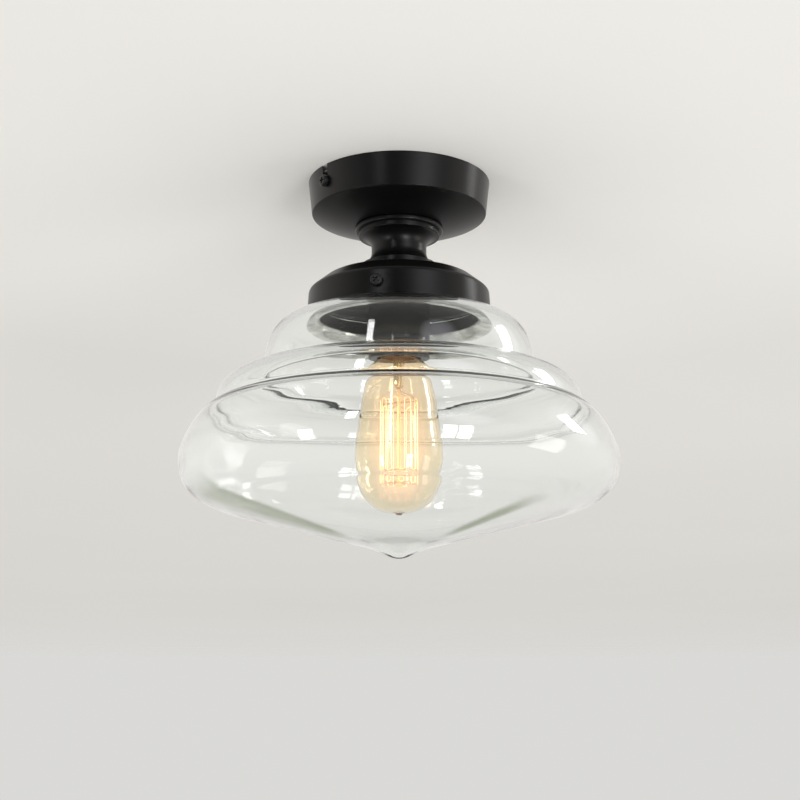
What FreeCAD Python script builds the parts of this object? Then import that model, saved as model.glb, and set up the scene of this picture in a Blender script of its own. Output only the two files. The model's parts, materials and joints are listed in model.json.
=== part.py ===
import FreeCAD, Part
import math
import os

# Schoolhouse ceiling light, in millimetres. The origin is on the light's axis in the plane of the ceiling,
# +Z is up, so every height below is negative. The mounting bracket lies along X.

# Fits and shared values
running_gap = 0.05
seat_gap = 0.1
loose_gap = 0.3
overrun = 5.0

# Canopy: a cup with tapered side wall and a shallow domed floor
canopy_rim_radius = 63.5
canopy_side_taper = 2.6
canopy_side_height = 22.7
canopy_floor_depth = 9.2
canopy_bulge = 0.9
canopy_wall = 1.6
canopy_edge_round = 0.7

# Neck: a bead ring, a waisted stem and a foot ring
neck_bead_radius = 30.6
neck_bead_height = 3.8
neck_bead_round = 1.4
neck_collar_radius = 28.2
neck_collar_round = 0.5
neck_waist_radius = 19.1
neck_waist_drop = 15.6
neck_waist_length = 2.8
neck_upper_flare = 8.6
neck_lower_flare = 10.4
neck_foot_radius = 26.2
neck_foot_step = 0.7
neck_height = 32.1
neck_top_web = 6.0
neck_cavity_radius = 14.5

# Shade holder: a shallow cone, a small step, a sloping shoulder and a deep rim
holder_cone_drop = 7.45
holder_step_height = 0.5
holder_step_width = 1.0
holder_shoulder_drop = 8.2
holder_shoulder_round = 3.2
holder_shoulder_reach = 11.2
holder_rim_taper = 1.2
holder_lip_clearance = 2.2
holder_height = 35.0
holder_wall = 1.8
holder_rim_round = 0.6

# Glass shade: a lipped neck, two rounded steps and a wide bowl with a drawn point
glass_wall = 3.6
shade_neck_radius = 56.8
shade_lip_inset = 0.8
shade_lip_height = 5.0
shade_lip_round = 1.6
shade_lip_slope_height = 1.6
shade_neck_length = 18.6
shade_neck_flare = 5.4
shade_rim_gap = 0.4
first_step_radius = 92.5
first_step_height = 41.3
second_step_radius = 124.3
second_step_height = 24.6
bowl_radius = 147.8
bowl_shoulder_height = 34.2
crease_round = 2.5
bowl_corner_radius = 120.0
bowl_corner_height = 30.0
bowl_base_slope = 15.0
ogee_radius = 36.0
tip_slope = 27.0
tip_round = 15.4
tip_depth = 64.2
inner_tip_round = 11.0
tip_wall = 4.4
first_step_start_share = 0.66
first_step_end_share = 0.74
second_step_share = 0.66
bowl_shoulder_share = 0.33
bowl_corner_share = 0.72
ogee_share = 0.4

# Screws that hold the shade and the canopy
side_screw_head_radius = 4.05
side_screw_head_height = 2.9
side_screw_head_round = 1.3
side_screw_shank_radius = 2.0
cross_slot_width = 1.1
cross_slot_length = 4.6
cross_slot_depth = 1.4
shade_screw_rise = 9.7
shade_screw_angles = (-140.3, -22.3, 99.2)
canopy_screw_drop = 11.4
canopy_slot_width = 5.4
canopy_screw_reach = 4.0

# Mounting bracket: a strip across the ceiling box with two bent tabs
bracket_gauge = 1.8
bracket_width = 16.0
bracket_bend_round = 3.0
bracket_tab_length = 17.0
bracket_hole_radius = 5.1
box_spacing_small = 69.85
box_spacing_large = 88.9
box_slot_width = 4.8
tab_wall_gap = 0.4

# Ground screw and its lead
ground_head_radius = 4.6
ground_head_height = 3.0
ground_shank_radius = 2.1
ground_slot_width = 1.0
ground_slot_depth = 1.2
ground_lead_radius = 1.0
ground_lead_bend = 4.5
ground_lead_reach = 16.0
ring_terminal_radius = 8.0
ring_terminal_gauge = 0.8
ring_terminal_tail = 13.0
ring_terminal_tail_width = 3.6

# Threaded nipple with its nuts and washers
nipple_radius = 5.0
nipple_bore_radius = 3.5
nipple_chamfer = 0.5
nipple_top_reach = 3.2
nut_sides = 6
nut_flats = 14.0
nut_height = 4.0
nut_chamfer = 0.8
lock_washer_radius = 8.3
lock_washer_gauge = 1.5
lock_washer_split = 1.4
flat_washer_radius = 12.5
flat_washer_gauge = 1.2
bushing_flange_radius = 5.4
bushing_flange_height = 1.6
bushing_depth = 6.0
bushing_bore_radius = 2.95

# Lamp socket
socket_radius = 21.4
socket_wall = 2.5
socket_mouth_depth = 22.0
socket_body_height = 34.6
socket_mouth_radius = 15.4
socket_lip_height = 2.4
socket_edge_round = 1.1
socket_cap_boss_radius = 9.0
socket_cap_boss_height = 2.6
socket_cap_dome_height = 8.6
socket_cap_round = 5.0
insulator_height = 4.6
insulator_ledge_height = 1.6
screw_shell_wall = 0.7
screw_shell_height = 26.4
centre_contact_gauge = 0.5
centre_contact_width = 6.0
centre_contact_length = 15.0
centre_contact_rise = 2.4
centre_contact_bend = 1.2
terminal_head_radius = 3.4
terminal_head_height = 2.4
terminal_shank_radius = 1.6
terminal_place_radius = 11.0
terminal_slot_width = 0.8
terminal_slot_depth = 0.9
set_screw_radius = 0.75
set_screw_slot_depth = 0.8
set_screw_slot_width = 0.5

# Leads inside the light
lead_radius = 1.2
lead_bend = 3.6
lead_spacing = 2.7
lead_top_bend = 6.0
lead_run_height = 13.2
connector_reach = 22.0
connector_radius = 6.2
connector_tip_radius = 4.4
connector_length = 20.0
connector_mouth_radius = 4.4
connector_mouth_depth = 4.0
connector_grip_depth = 10.0
connector_lead_depth = 9.0
connector_rib_count = 8
connector_rib_width = 0.9
connector_rib_depth = 0.6

# Lamp thread: a rounded wave that climbs around the axis, on the base and in the socket
inch = 25.4
threads_per_inch = 7
thread_lead = inch / threads_per_inch
thread_mean_radius = 12.62
thread_depth = 0.42
thread_gap = 0.25
thread_blend = 2.2
thread_steps_per_turn = 20
thread_rows_per_lead = 8

# Bulb
contact_gap = 0.3
tip_contact_radius = 4.6
tip_contact_height = 1.8
base_insulator_height = 3.2
base_insulator_radius = 11.4
base_bore_radius = 11.7
base_shell_height = 21.6
bulb_glass_wall = 0.9
bulb_neck_radius = 11.5
bulb_neck_length = 9.0
bulb_shoulder_radius = 21.7
bulb_shoulder_height = 17.0
bulb_radius = 29.8
bulb_side_height = 62.0
bulb_dome_height = 31.7
bulb_pip_radius = 2.4
bulb_pip_height = 1.5
bulb_shoulder_slope_share = 0.2
bulb_throat_handle = (17.5, 2.6)
bulb_side_start_handle = 14.0
bulb_side_end_handle = 22.0
bulb_dome_side_share = 0.62
bulb_dome_end_share = 0.6
stem_flare_radius = 10.3
stem_flare_height = 5.0
stem_neck_radius = 4.2
stem_press_height = 26.0
stem_rod_radius = 1.5
filament_wire_radius = 0.22
filament_cage_radius = 12.7
filament_hook_rise = 2.0
filament_top_drop = 37.6
filament_height = 53.0
filament_loops = 9
support_wire_radius = 0.3
support_hub_radius = 2.3
support_hub_height = 2.0
inner_lead_radius = 0.4
inner_lead_spacing = 3.6
inner_lead_depth = 4.0

# Sizes and heights that follow from the sizes above
canopy_foot_radius = canopy_rim_radius - canopy_side_taper
canopy_foot_z = -canopy_side_height
canopy_floor_z = canopy_foot_z - canopy_floor_depth
canopy_inside_z = canopy_floor_z + canopy_wall
neck_bead_z = canopy_floor_z - neck_bead_height
neck_waist_z = canopy_floor_z - neck_waist_drop
neck_bottom_z = canopy_floor_z - neck_height
shade_lip_radius = shade_neck_radius + glass_wall - shade_lip_inset
holder_rim_radius = shade_lip_radius + holder_wall + holder_lip_clearance
holder_shoulder_radius = holder_rim_radius - holder_rim_taper
holder_cone_radius = holder_shoulder_radius - holder_shoulder_reach
holder_inside_z = neck_bottom_z - holder_wall
holder_cone_z = neck_bottom_z - holder_cone_drop
holder_step_z = holder_cone_z - holder_step_height
holder_shoulder_z = holder_step_z - holder_shoulder_drop
holder_rim_z = neck_bottom_z - holder_height
shade_screw_z = holder_rim_z + shade_screw_rise
shade_top_z = holder_rim_z - shade_rim_gap + shade_neck_length
shade_lip_z = shade_top_z - shade_lip_height
shade_flare_z = shade_top_z - shade_neck_length
shade_inner_radius = shade_neck_radius - glass_wall
shade_flare_radius = shade_neck_radius + shade_neck_flare
first_crease_z = shade_flare_z - first_step_height
second_crease_z = first_crease_z - second_step_height
bowl_widest_z = second_crease_z - bowl_shoulder_height
bowl_corner_z = bowl_widest_z - bowl_corner_height
tip_z = bowl_widest_z - tip_depth
canopy_screw_z = -canopy_screw_drop
flat_washer_z = canopy_inside_z + flat_washer_gauge
ring_terminal_z = flat_washer_z + ring_terminal_gauge
upper_washer_z = ring_terminal_z + lock_washer_gauge
upper_nut_z = upper_washer_z + nut_height
nipple_top_z = upper_nut_z + nipple_top_reach
lower_washer_z = holder_inside_z - lock_washer_gauge
lower_nut_z = lower_washer_z - nut_height
socket_mouth_z = holder_rim_z - socket_mouth_depth
socket_body_top_z = socket_mouth_z + socket_body_height
socket_cap_dome_z = socket_body_top_z + socket_cap_dome_height
socket_cap_top_z = socket_cap_dome_z + socket_cap_boss_height
nipple_bottom_z = socket_cap_dome_z - socket_wall
insulator_bottom_z = socket_body_top_z - insulator_height
lead_terminal_z = socket_body_top_z + lead_radius + seat_gap
lead_run_z = -lead_run_height
base_contact_z = insulator_bottom_z - centre_contact_rise - contact_gap
base_insulator_z = base_contact_z - tip_contact_height
base_shell_top_z = base_insulator_z - base_insulator_height
base_shell_bottom_z = base_shell_top_z - base_shell_height
bulb_shoulder_z = base_shell_bottom_z - bulb_shoulder_height
bulb_widest_z = bulb_shoulder_z - bulb_side_height
bulb_bottom_z = bulb_widest_z - bulb_dome_height
stem_press_z = base_shell_bottom_z - stem_press_height
filament_top_z = base_shell_bottom_z - filament_top_drop
filament_bottom_z = filament_top_z - filament_height

up = FreeCAD.Vector(0, 0, 1)
centre = FreeCAD.Vector(0, 0, 0)


def at(radius, height):
    """A point of an outline, in the XZ plane."""
    return FreeCAD.Vector(radius, 0, height)


def line(start, end):
    return Part.LineSegment(start, end).toShape()


def curve(*poles):
    """A Bezier curve with these poles."""
    bezier = Part.BezierCurve()
    bezier.setPoles(list(poles))
    return bezier.toShape()


def arc_about(middle, radius, start_angle, end_angle):
    """An arc in the XZ plane, with angles in degrees from +X towards +Z."""
    def spot(angle):
        turn = math.radians(angle)
        return middle + at(radius * math.cos(turn), radius * math.sin(turn))
    return Part.Arc(spot(start_angle), spot((start_angle + end_angle) / 2), spot(end_angle)).toShape()


def rounded_path(corners, closed=False):
    """Straight runs through the corners, each corner (point, rounding) eased by a tangent arc."""
    points = [corner[0] for corner in corners]
    count = len(points)
    cuts = []
    for i, (here, rounding) in enumerate(corners):
        is_end = not closed and i in (0, count - 1)
        if is_end or rounding == 0:
            cuts.append((here, here, None))
            continue
        back = (points[i - 1] - here).normalize()
        ahead = (points[(i + 1) % count] - here).normalize()
        half = back.getAngle(ahead) / 2
        reach = rounding / math.tan(half)
        middle = here + (back + ahead).normalize() * (rounding / math.sin(half))
        via = middle + (here - middle).normalize() * rounding
        cuts.append((here + back * reach, here + ahead * reach, via))
    edges = []
    for i, (start, end, via) in enumerate(cuts):
        if via is not None:
            edges.append(Part.Arc(start, via, end).toShape())
        is_last = i == count - 1
        if is_last and not closed:
            break
        following = cuts[(i + 1) % count][0]
        if end.distanceToPoint(following) > Part.Precision.confusion():
            edges.append(line(end, following))
    return edges


def turned_edges(edges):
    """The solid made by turning a closed outline about Z."""
    face = Part.Face(Part.Wire(Part.__sortEdges__(edges)))
    solid = face.revolve(centre, up, 360)
    return solid if solid.Volume > 0 else solid.reversed()


def turned(corners):
    """The same for straight sides, from (radius, height) or (radius, height, rounding) corners."""
    placed = [(at(*corner[:2]), corner[2] if len(corner) > 2 else 0) for corner in corners]
    return turned_edges(rounded_path(placed, closed=True))


def washer(radius, bore, bottom, height):
    """A plain ring or tube that stands on the height bottom."""
    return turned([(bore, bottom), (radius, bottom), (radius, bottom + height), (bore, bottom + height)])


def rod(radius, bottom, height):
    return Part.makeCylinder(radius, height, at(0, bottom))


def block(width, depth, height, middle):
    """A box centred on a point."""
    corner = middle - FreeCAD.Vector(width, depth, height) / 2
    return Part.makeBox(width, depth, height, corner)


def placed(shape, point, direction, spin=0):
    """A copy whose own origin and +Z go to a point and a direction."""
    turn = FreeCAD.Rotation(up, direction)
    own = FreeCAD.Rotation(up, spin)
    moved = shape.copy()
    moved.Placement = FreeCAD.Placement(point, turn.multiply(own))
    return moved


def wire_rod(points, radius, bend):
    """A round wire along straight runs joined by tangent arcs."""
    path = Part.Wire(rounded_path([(point, bend) for point in points]))
    heading = (points[1] - points[0]).normalize()
    ring = Part.Wire(Part.makeCircle(radius, points[0], heading))
    return path.makePipeShell([ring], True, False)


def strut(start, end, radius):
    """A straight round bar between two points."""
    span = end - start
    return Part.makeCylinder(radius, span.Length, start, span)


def cross_recess(top):
    """The cross slot of a screw head whose top is at this height."""
    middle = at(0, top)
    deep = 2 * cross_slot_depth
    first = block(cross_slot_length, cross_slot_width, deep, middle)
    second = block(cross_slot_width, cross_slot_length, deep, middle)
    return first.fuse(second)


def pan_screw(shank_length):
    """A pan head screw with its head above z 0 and its shank below."""
    body = turned([
        (0, -shank_length),
        (side_screw_shank_radius, -shank_length),
        (side_screw_shank_radius, 0),
        (side_screw_head_radius, 0),
        (side_screw_head_radius, side_screw_head_height, side_screw_head_round),
        (0, side_screw_head_height),
    ])
    return body.cut(cross_recess(side_screw_head_height))


def slotted_screw(head_radius, head_height, shank_radius, shank_length, slot_width, slot_depth):
    """A cheese head screw with a straight slot, its head above z 0 and its shank below."""
    body = rod(head_radius, 0, head_height).fuse(rod(shank_radius, -shank_length, shank_length))
    slot = block(2 * head_radius + overrun, slot_width, 2 * slot_depth, at(0, head_height))
    return body.removeSplitter().cut(slot)


def hex_nut(bottom):
    """A hexagon nut with both ends chamfered, on the nipple's running fit."""
    corner_radius = nut_flats / 2 / math.cos(math.pi / nut_sides)
    corners = []
    for i in range(nut_sides):
        angle = 2 * math.pi * i / nut_sides
        x = corner_radius * math.cos(angle)
        y = corner_radius * math.sin(angle)
        corners.append(FreeCAD.Vector(x, y, bottom))
    corners.append(corners[0])
    prism = Part.Face(Part.makePolygon(corners)).extrude(up * nut_height)
    top = bottom + nut_height
    flat_radius = corner_radius - nut_chamfer
    easing = turned([
        (nipple_radius + running_gap, bottom),
        (flat_radius, bottom),
        (corner_radius, bottom + nut_chamfer / 2),
        (corner_radius, top - nut_chamfer / 2),
        (flat_radius, top),
        (nipple_radius + running_gap, top),
    ])
    return prism.common(easing)


def lock_washer(bottom):
    """A split ring washer."""
    ring = washer(lock_washer_radius, nipple_radius + running_gap, bottom, lock_washer_gauge)
    gap_middle = FreeCAD.Vector(lock_washer_radius, 0, bottom)
    gap = block(lock_washer_radius, lock_washer_split, 2 * (lock_washer_gauge + overrun), gap_middle)
    return ring.cut(gap)


def canopy_outer_radius(height):
    """The tapered side wall's outer radius at a height."""
    return canopy_rim_radius + canopy_side_taper * height / canopy_side_height


def holder_outer_radius(height):
    """The holder rim's outer radius at a height on its straight wall."""
    share = (holder_shoulder_z - height) / (holder_shoulder_z - holder_rim_z)
    return holder_shoulder_radius + (holder_rim_radius - holder_shoulder_radius) * share


def canopy():
    """The cup on the ceiling, with a slot for each side screw open to its rim and a hole for the nipple."""
    outer_foot = at(canopy_foot_radius, canopy_foot_z)
    outer_floor = at(neck_bead_radius, canopy_floor_z)
    inner_foot = at(canopy_foot_radius - canopy_wall, canopy_foot_z + canopy_wall / 2)
    inner_floor = at(neck_bead_radius, canopy_inside_z)
    hole = nipple_radius + loose_gap

    def dome(start, end):
        along = end - start
        bulge = FreeCAD.Vector(along.z, 0, -along.x).normalize() * canopy_bulge
        bulge = bulge if bulge.z < 0 else bulge * -1
        return Part.Arc(start, (start + end) / 2 + bulge, end).toShape()

    shell = turned_edges([
        line(at(canopy_rim_radius - canopy_wall, 0), at(canopy_rim_radius, 0)),
        line(at(canopy_rim_radius, 0), outer_foot),
        dome(outer_foot, outer_floor),
        line(outer_floor, at(hole, canopy_floor_z)),
        line(at(hole, canopy_floor_z), at(hole, canopy_inside_z)),
        line(at(hole, canopy_inside_z), inner_floor),
        dome(inner_floor, inner_foot),
        line(inner_foot, at(canopy_rim_radius - canopy_wall, 0)),
    ])
    arris = [
        edge for edge in shell.Edges
        if edge.BoundBox.ZLength < seat_gap and abs(edge.BoundBox.ZMax - canopy_foot_z) < seat_gap
        and abs(edge.BoundBox.XMax - canopy_foot_radius) < seat_gap
    ]
    shell = shell.makeFillet(canopy_edge_round, arris)
    for side in (-1, 1):
        wall = FreeCAD.Vector(side * canopy_rim_radius, 0, 0)
        slot_depth = 2 * canopy_screw_drop
        slot = block(2 * overrun, canopy_slot_width, slot_depth, wall)
        start = FreeCAD.Vector(side * (canopy_rim_radius - overrun), 0, canopy_screw_z)
        end = FreeCAD.Vector(side * (canopy_rim_radius + overrun), 0, canopy_screw_z)
        shell = shell.cut(slot.fuse(strut(start, end, canopy_slot_width / 2)))
    return shell


def neck():
    """The waisted stem, hollow from below, with a web at the top that the nipple passes through."""
    upper_middle = at(neck_waist_radius + neck_upper_flare, neck_waist_z)
    waist_top = at(neck_waist_radius, neck_waist_z)
    waist_bottom = waist_top - up * neck_waist_length
    lower_middle = waist_bottom + at(neck_lower_flare, 0)
    lower_reach = lower_middle.x - neck_foot_radius + neck_foot_step
    lower_turn = math.acos(lower_reach / neck_lower_flare)
    lower_end_z = lower_middle.z - neck_lower_flare * math.sin(lower_turn)
    flare_top = upper_middle + up * neck_upper_flare
    web_z = canopy_floor_z - neck_top_web
    hole = nipple_radius + loose_gap
    head = rounded_path([
        (at(hole, canopy_floor_z), 0),
        (at(neck_bead_radius, canopy_floor_z), neck_bead_round),
        (at(neck_bead_radius, neck_bead_z), neck_bead_round),
        (at(neck_collar_radius, neck_bead_z), 0),
        (at(neck_collar_radius, flare_top.z), neck_collar_round),
        (flare_top, 0),
    ])
    foot = rounded_path([
        (at(neck_foot_radius - neck_foot_step, lower_end_z), 0),
        (at(neck_foot_radius, lower_end_z), 0),
        (at(neck_foot_radius, neck_bottom_z), 0),
        (at(neck_cavity_radius, neck_bottom_z), 0),
        (at(neck_cavity_radius, web_z), 0),
        (at(hole, web_z), 0),
        (at(hole, canopy_floor_z), 0),
    ])
    flares = [
        arc_about(upper_middle, neck_upper_flare, 90, 180),
        line(waist_top, waist_bottom),
        arc_about(lower_middle, neck_lower_flare, 180, 180 + math.degrees(lower_turn)),
    ]
    return turned_edges(head + flares + foot)


def shade_holder():
    """The spun cap that holds the glass: flat seat, cone, small step, sloping shoulder and deep rim."""
    hole = nipple_radius + loose_gap
    inner_shoulder = holder_shoulder_radius - holder_wall
    inner_rim = holder_rim_radius - holder_wall
    shell = turned([
        (hole, neck_bottom_z),
        (neck_foot_radius, neck_bottom_z),
        (holder_cone_radius, holder_cone_z),
        (holder_cone_radius, holder_step_z),
        (holder_cone_radius + holder_step_width, holder_step_z),
        (holder_shoulder_radius, holder_shoulder_z, holder_shoulder_round),
        (holder_rim_radius, holder_rim_z, holder_rim_round),
        (inner_rim, holder_rim_z, holder_rim_round),
        (inner_shoulder, holder_shoulder_z - holder_wall / 2, holder_shoulder_round - holder_wall),
        (holder_cone_radius - holder_step_width, holder_step_z - holder_wall),
        (neck_foot_radius, holder_inside_z),
        (hole, holder_inside_z),
    ])
    for angle in shade_screw_angles:
        turn = math.radians(angle)
        outward = FreeCAD.Vector(math.cos(turn), math.sin(turn), 0)
        start = at(0, shade_screw_z) + outward * (shade_neck_radius + loose_gap)
        end = at(0, shade_screw_z) + outward * (holder_rim_radius + overrun)
        shell = shell.cut(strut(start, end, side_screw_shank_radius + running_gap))
    return shell


def step_curve(start, end, start_share, end_share):
    """A rounded step of the shade: level where it starts, upright where it ends."""
    start_pole = at(start.x + (end.x - start.x) * start_share, start.z)
    end_pole = at(end.x, end.z + (start.z - end.z) * end_share)
    return curve(start, start_pole, end_pole, end)


def sloped(start, run, slope):
    """The point a level run away from start, down a slope in degrees towards the axis."""
    return at(start.x - run, start.z - run * math.tan(math.radians(slope)))


def shade_side(inset):
    """The edges of one face of the shade, from its neck to its slope, at this depth inside the glass."""
    flare = at(shade_flare_radius, shade_flare_z + shade_neck_flare)
    first = at(first_step_radius + crease_round, first_crease_z + crease_round)
    second = at(second_step_radius + crease_round, second_crease_z + crease_round)
    crease = crease_round + inset
    flare_end = at(flare.x, shade_flare_z - inset)
    first_start = at(first_step_radius - inset, first.z)
    first_end = at(first.x, first.z - crease)
    second_start = at(second_step_radius - inset, second.z)
    second_end = at(second.x, second.z - crease)
    widest = at(bowl_radius - inset, bowl_widest_z)
    lift = inset / math.cos(math.radians(bowl_base_slope))
    corner_end = at(bowl_corner_radius, bowl_corner_z + lift)
    sharp = sloped(corner_end, bowl_corner_radius - widest.x, bowl_base_slope)
    upper_pole = widest + (sharp - widest) * bowl_corner_share
    lower_pole = corner_end + (sharp - corner_end) * bowl_corner_share
    edges = [
        arc_about(flare, shade_neck_flare + inset, 180, 270),
        step_curve(flare_end, first_start, first_step_start_share, first_step_end_share),
        arc_about(first, crease, 180, 270),
        step_curve(first_end, second_start, second_step_share, second_step_share),
        arc_about(second, crease, 180, 270),
        step_curve(second_end, widest, bowl_shoulder_share, bowl_shoulder_share),
        curve(widest, upper_pole, lower_pole, corner_end),
    ]
    return edges, corner_end


def shade_point(end, lowest_z, rounding):
    """One face of the shade's foot: down the bowl's slope, round the ogee and to the rounded point."""
    turn = math.radians(tip_slope)
    tip_edge = at(rounding * math.sin(turn), lowest_z + rounding * (1 - math.cos(turn)))
    ogee_start = sloped(end, end.x - ogee_radius, bowl_base_slope)
    handle = (ogee_start.x - tip_edge.x) * ogee_share
    return [
        line(end, ogee_start),
        curve(ogee_start, sloped(ogee_start, handle, bowl_base_slope),
              sloped(tip_edge, -handle, tip_slope), tip_edge),
        arc_about(at(0, lowest_z + rounding), rounding, -90 + tip_slope, -90),
    ]


def glass_shade():
    """The blown glass shade, with a lip above its screws and a drawn point below."""
    outer, outer_end = shade_side(0)
    inner, inner_end = shade_side(glass_wall)
    flare_start_z = shade_flare_z + shade_neck_flare
    lip = rounded_path([
        (at(shade_inner_radius, flare_start_z), 0),
        (at(shade_inner_radius, shade_top_z), shade_lip_round),
        (at(shade_lip_radius, shade_top_z), shade_lip_round),
        (at(shade_lip_radius, shade_lip_z + shade_lip_slope_height), shade_lip_round),
        (at(shade_neck_radius, shade_lip_z), 0),
        (at(shade_neck_radius, flare_start_z), 0),
    ])
    point = shade_point(outer_end, tip_z, tip_round)
    hollow = shade_point(inner_end, tip_z + tip_wall, inner_tip_round)
    middle = [line(at(0, tip_z + tip_wall), at(0, tip_z))]
    return turned_edges(lip + outer + point + inner + hollow + middle)


def shade_screw(angle):
    """One screw through the holder's rim, its end just short of the glass under the lip."""
    turn = math.radians(angle)
    outward = FreeCAD.Vector(math.cos(turn), math.sin(turn), 0)
    seat = holder_outer_radius(shade_screw_z - side_screw_head_radius) + seat_gap
    shank = seat - shade_neck_radius - loose_gap
    return placed(pan_screw(shank), at(0, shade_screw_z) + outward * seat, outward)


def tab_face():
    """How far from the axis the outer face of a bracket tab stands, just clear of the canopy's wall."""
    inner = canopy_outer_radius(-bracket_tab_length) - canopy_wall - tab_wall_gap
    return math.sqrt(inner ** 2 - (bracket_width / 2) ** 2)


def canopy_screw(side):
    """One side screw through the canopy's slot into the bracket's tab."""
    seat = canopy_outer_radius(canopy_screw_z + side_screw_head_radius) + seat_gap
    shank = seat - tab_face() + bracket_gauge + canopy_screw_reach
    outward = FreeCAD.Vector(side, 0, 0)
    return placed(pan_screw(shank), FreeCAD.Vector(side * seat, 0, canopy_screw_z), outward)


def ground_place():
    """Where the ground screw stands along the bracket: the ground lead's bend ends at its head."""
    return -(ground_lead_reach + ground_lead_bend + loose_gap + ground_head_radius)


def mounting_bracket():
    """The strip across the ceiling box: slots for the box screws, tapped tabs for the canopy's screws."""
    face = tab_face()
    inner_bend = bracket_bend_round - bracket_gauge
    outline = rounded_path([
        (at(-face, -bracket_tab_length), 0),
        (at(-face, 0), bracket_bend_round),
        (at(face, 0), bracket_bend_round),
        (at(face, -bracket_tab_length), 0),
        (at(face - bracket_gauge, -bracket_tab_length), 0),
        (at(face - bracket_gauge, -bracket_gauge), inner_bend),
        (at(-face + bracket_gauge, -bracket_gauge), inner_bend),
        (at(-face + bracket_gauge, -bracket_tab_length), 0),
    ], closed=True)
    strip = Part.Face(Part.Wire(outline)).extrude(FreeCAD.Vector(0, bracket_width, 0))
    strip.translate(FreeCAD.Vector(0, -bracket_width / 2, 0))
    cuts = [Part.makeCylinder(bracket_hole_radius, 2 * overrun, at(0, -overrun))]
    slot_middle = (box_spacing_small + box_spacing_large) / 4
    slot_run = (box_spacing_large - box_spacing_small) / 2
    for side in (-1, 1):
        middle = FreeCAD.Vector(side * slot_middle, 0, 0)
        cuts.append(block(slot_run, box_slot_width, 2 * overrun, middle))
        for end in (-1, 1):
            spot = FreeCAD.Vector(side * slot_middle + end * slot_run / 2, 0, -overrun)
            cuts.append(Part.makeCylinder(box_slot_width / 2, 2 * overrun, spot))
        inside = FreeCAD.Vector(side * (face - bracket_gauge - overrun), 0, canopy_screw_z)
        outside = FreeCAD.Vector(side * (face + overrun), 0, canopy_screw_z)
        cuts.append(strut(inside, outside, side_screw_shank_radius + running_gap))
    ground_spot = FreeCAD.Vector(ground_place(), 0, -overrun)
    cuts.append(Part.makeCylinder(ground_shank_radius + running_gap, 2 * overrun, ground_spot))
    return strip.cut(cuts)


def ground_screw():
    """The ground screw, its head under the bracket and its end level with the strip's top."""
    screw = slotted_screw(
        ground_head_radius, ground_head_height, ground_shank_radius, bracket_gauge,
        ground_slot_width, ground_slot_depth)
    return placed(screw, FreeCAD.Vector(ground_place(), 0, -bracket_gauge), FreeCAD.Vector(0, 0, -1))


def ring_terminal():
    """The ring on the nipple that carries the ground lead, with a flat tail along -X."""
    ring = rod(ring_terminal_radius, flat_washer_z, ring_terminal_gauge)
    tail_middle = FreeCAD.Vector(-ring_terminal_tail / 2, 0, flat_washer_z + ring_terminal_gauge / 2)
    tail = block(ring_terminal_tail, ring_terminal_tail_width, ring_terminal_gauge, tail_middle)
    hole = rod(nipple_radius + running_gap, flat_washer_z - overrun, ring_terminal_gauge + 2 * overrun)
    return ring.fuse(tail).removeSplitter().cut(hole)


def ground_lead():
    """The bare copper wire from the ring terminal's tail up to the ground screw's head."""
    bottom = ring_terminal_z
    start = FreeCAD.Vector(-ring_terminal_tail + ring_terminal_tail_width, 0, bottom + ground_lead_radius)
    corner = FreeCAD.Vector(-ground_lead_reach, 0, start.z)
    top_z = -bracket_gauge - ground_head_height / 2
    top = FreeCAD.Vector(-ground_lead_reach, 0, top_z)
    end = FreeCAD.Vector(ground_place() + ground_head_radius + seat_gap, 0, top_z)
    return wire_rod([start, corner, top, end], ground_lead_radius, ground_lead_bend)


def threaded_nipple():
    """The threaded pipe that ties canopy, neck, holder and socket together."""
    return turned([
        (nipple_bore_radius, nipple_bottom_z),
        (nipple_radius - nipple_chamfer, nipple_bottom_z),
        (nipple_radius, nipple_bottom_z + nipple_chamfer),
        (nipple_radius, nipple_top_z - nipple_chamfer),
        (nipple_radius - nipple_chamfer, nipple_top_z),
        (nipple_bore_radius, nipple_top_z),
    ])


def nipple_bushing():
    """The plastic sleeve that keeps the leads off the nipple's upper edge."""
    return turned([
        (bushing_bore_radius, nipple_top_z - bushing_depth),
        (nipple_bore_radius - running_gap, nipple_top_z - bushing_depth),
        (nipple_bore_radius - running_gap, nipple_top_z),
        (bushing_flange_radius, nipple_top_z),
        (bushing_flange_radius, nipple_top_z + bushing_flange_height),
        (bushing_bore_radius, nipple_top_z + bushing_flange_height),
    ])


def socket_cap():
    """The socket's domed cap with the boss that screws on the nipple."""
    inner = socket_radius - socket_wall
    hole = nipple_radius + running_gap
    ceiling_z = socket_cap_dome_z - socket_wall
    shell = turned([
        (hole, ceiling_z),
        (inner, ceiling_z, socket_cap_round - socket_wall),
        (inner, socket_body_top_z),
        (socket_radius, socket_body_top_z),
        (socket_radius, socket_cap_dome_z, socket_cap_round),
        (socket_cap_boss_radius, socket_cap_dome_z),
        (socket_cap_boss_radius, socket_cap_top_z),
        (hole, socket_cap_top_z),
    ])
    height = (socket_cap_dome_z + socket_cap_top_z) / 2
    start = FreeCAD.Vector(0, 0, height)
    end = FreeCAD.Vector(socket_cap_boss_radius + overrun, 0, height)
    return shell.cut(strut(start, end, set_screw_radius + running_gap))


def socket_set_screw():
    """The small headless screw in the cap's boss that locks the nipple."""
    height = (socket_cap_dome_z + socket_cap_top_z) / 2
    start = nipple_radius + running_gap
    length = socket_cap_boss_radius - start
    body = rod(set_screw_radius, 0, length)
    slot_length = 2 * (set_screw_radius + overrun)
    slot = block(slot_length, set_screw_slot_width, 2 * set_screw_slot_depth, at(0, length))
    return placed(body.cut(slot), FreeCAD.Vector(start, 0, height), FreeCAD.Vector(1, 0, 0))


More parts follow.
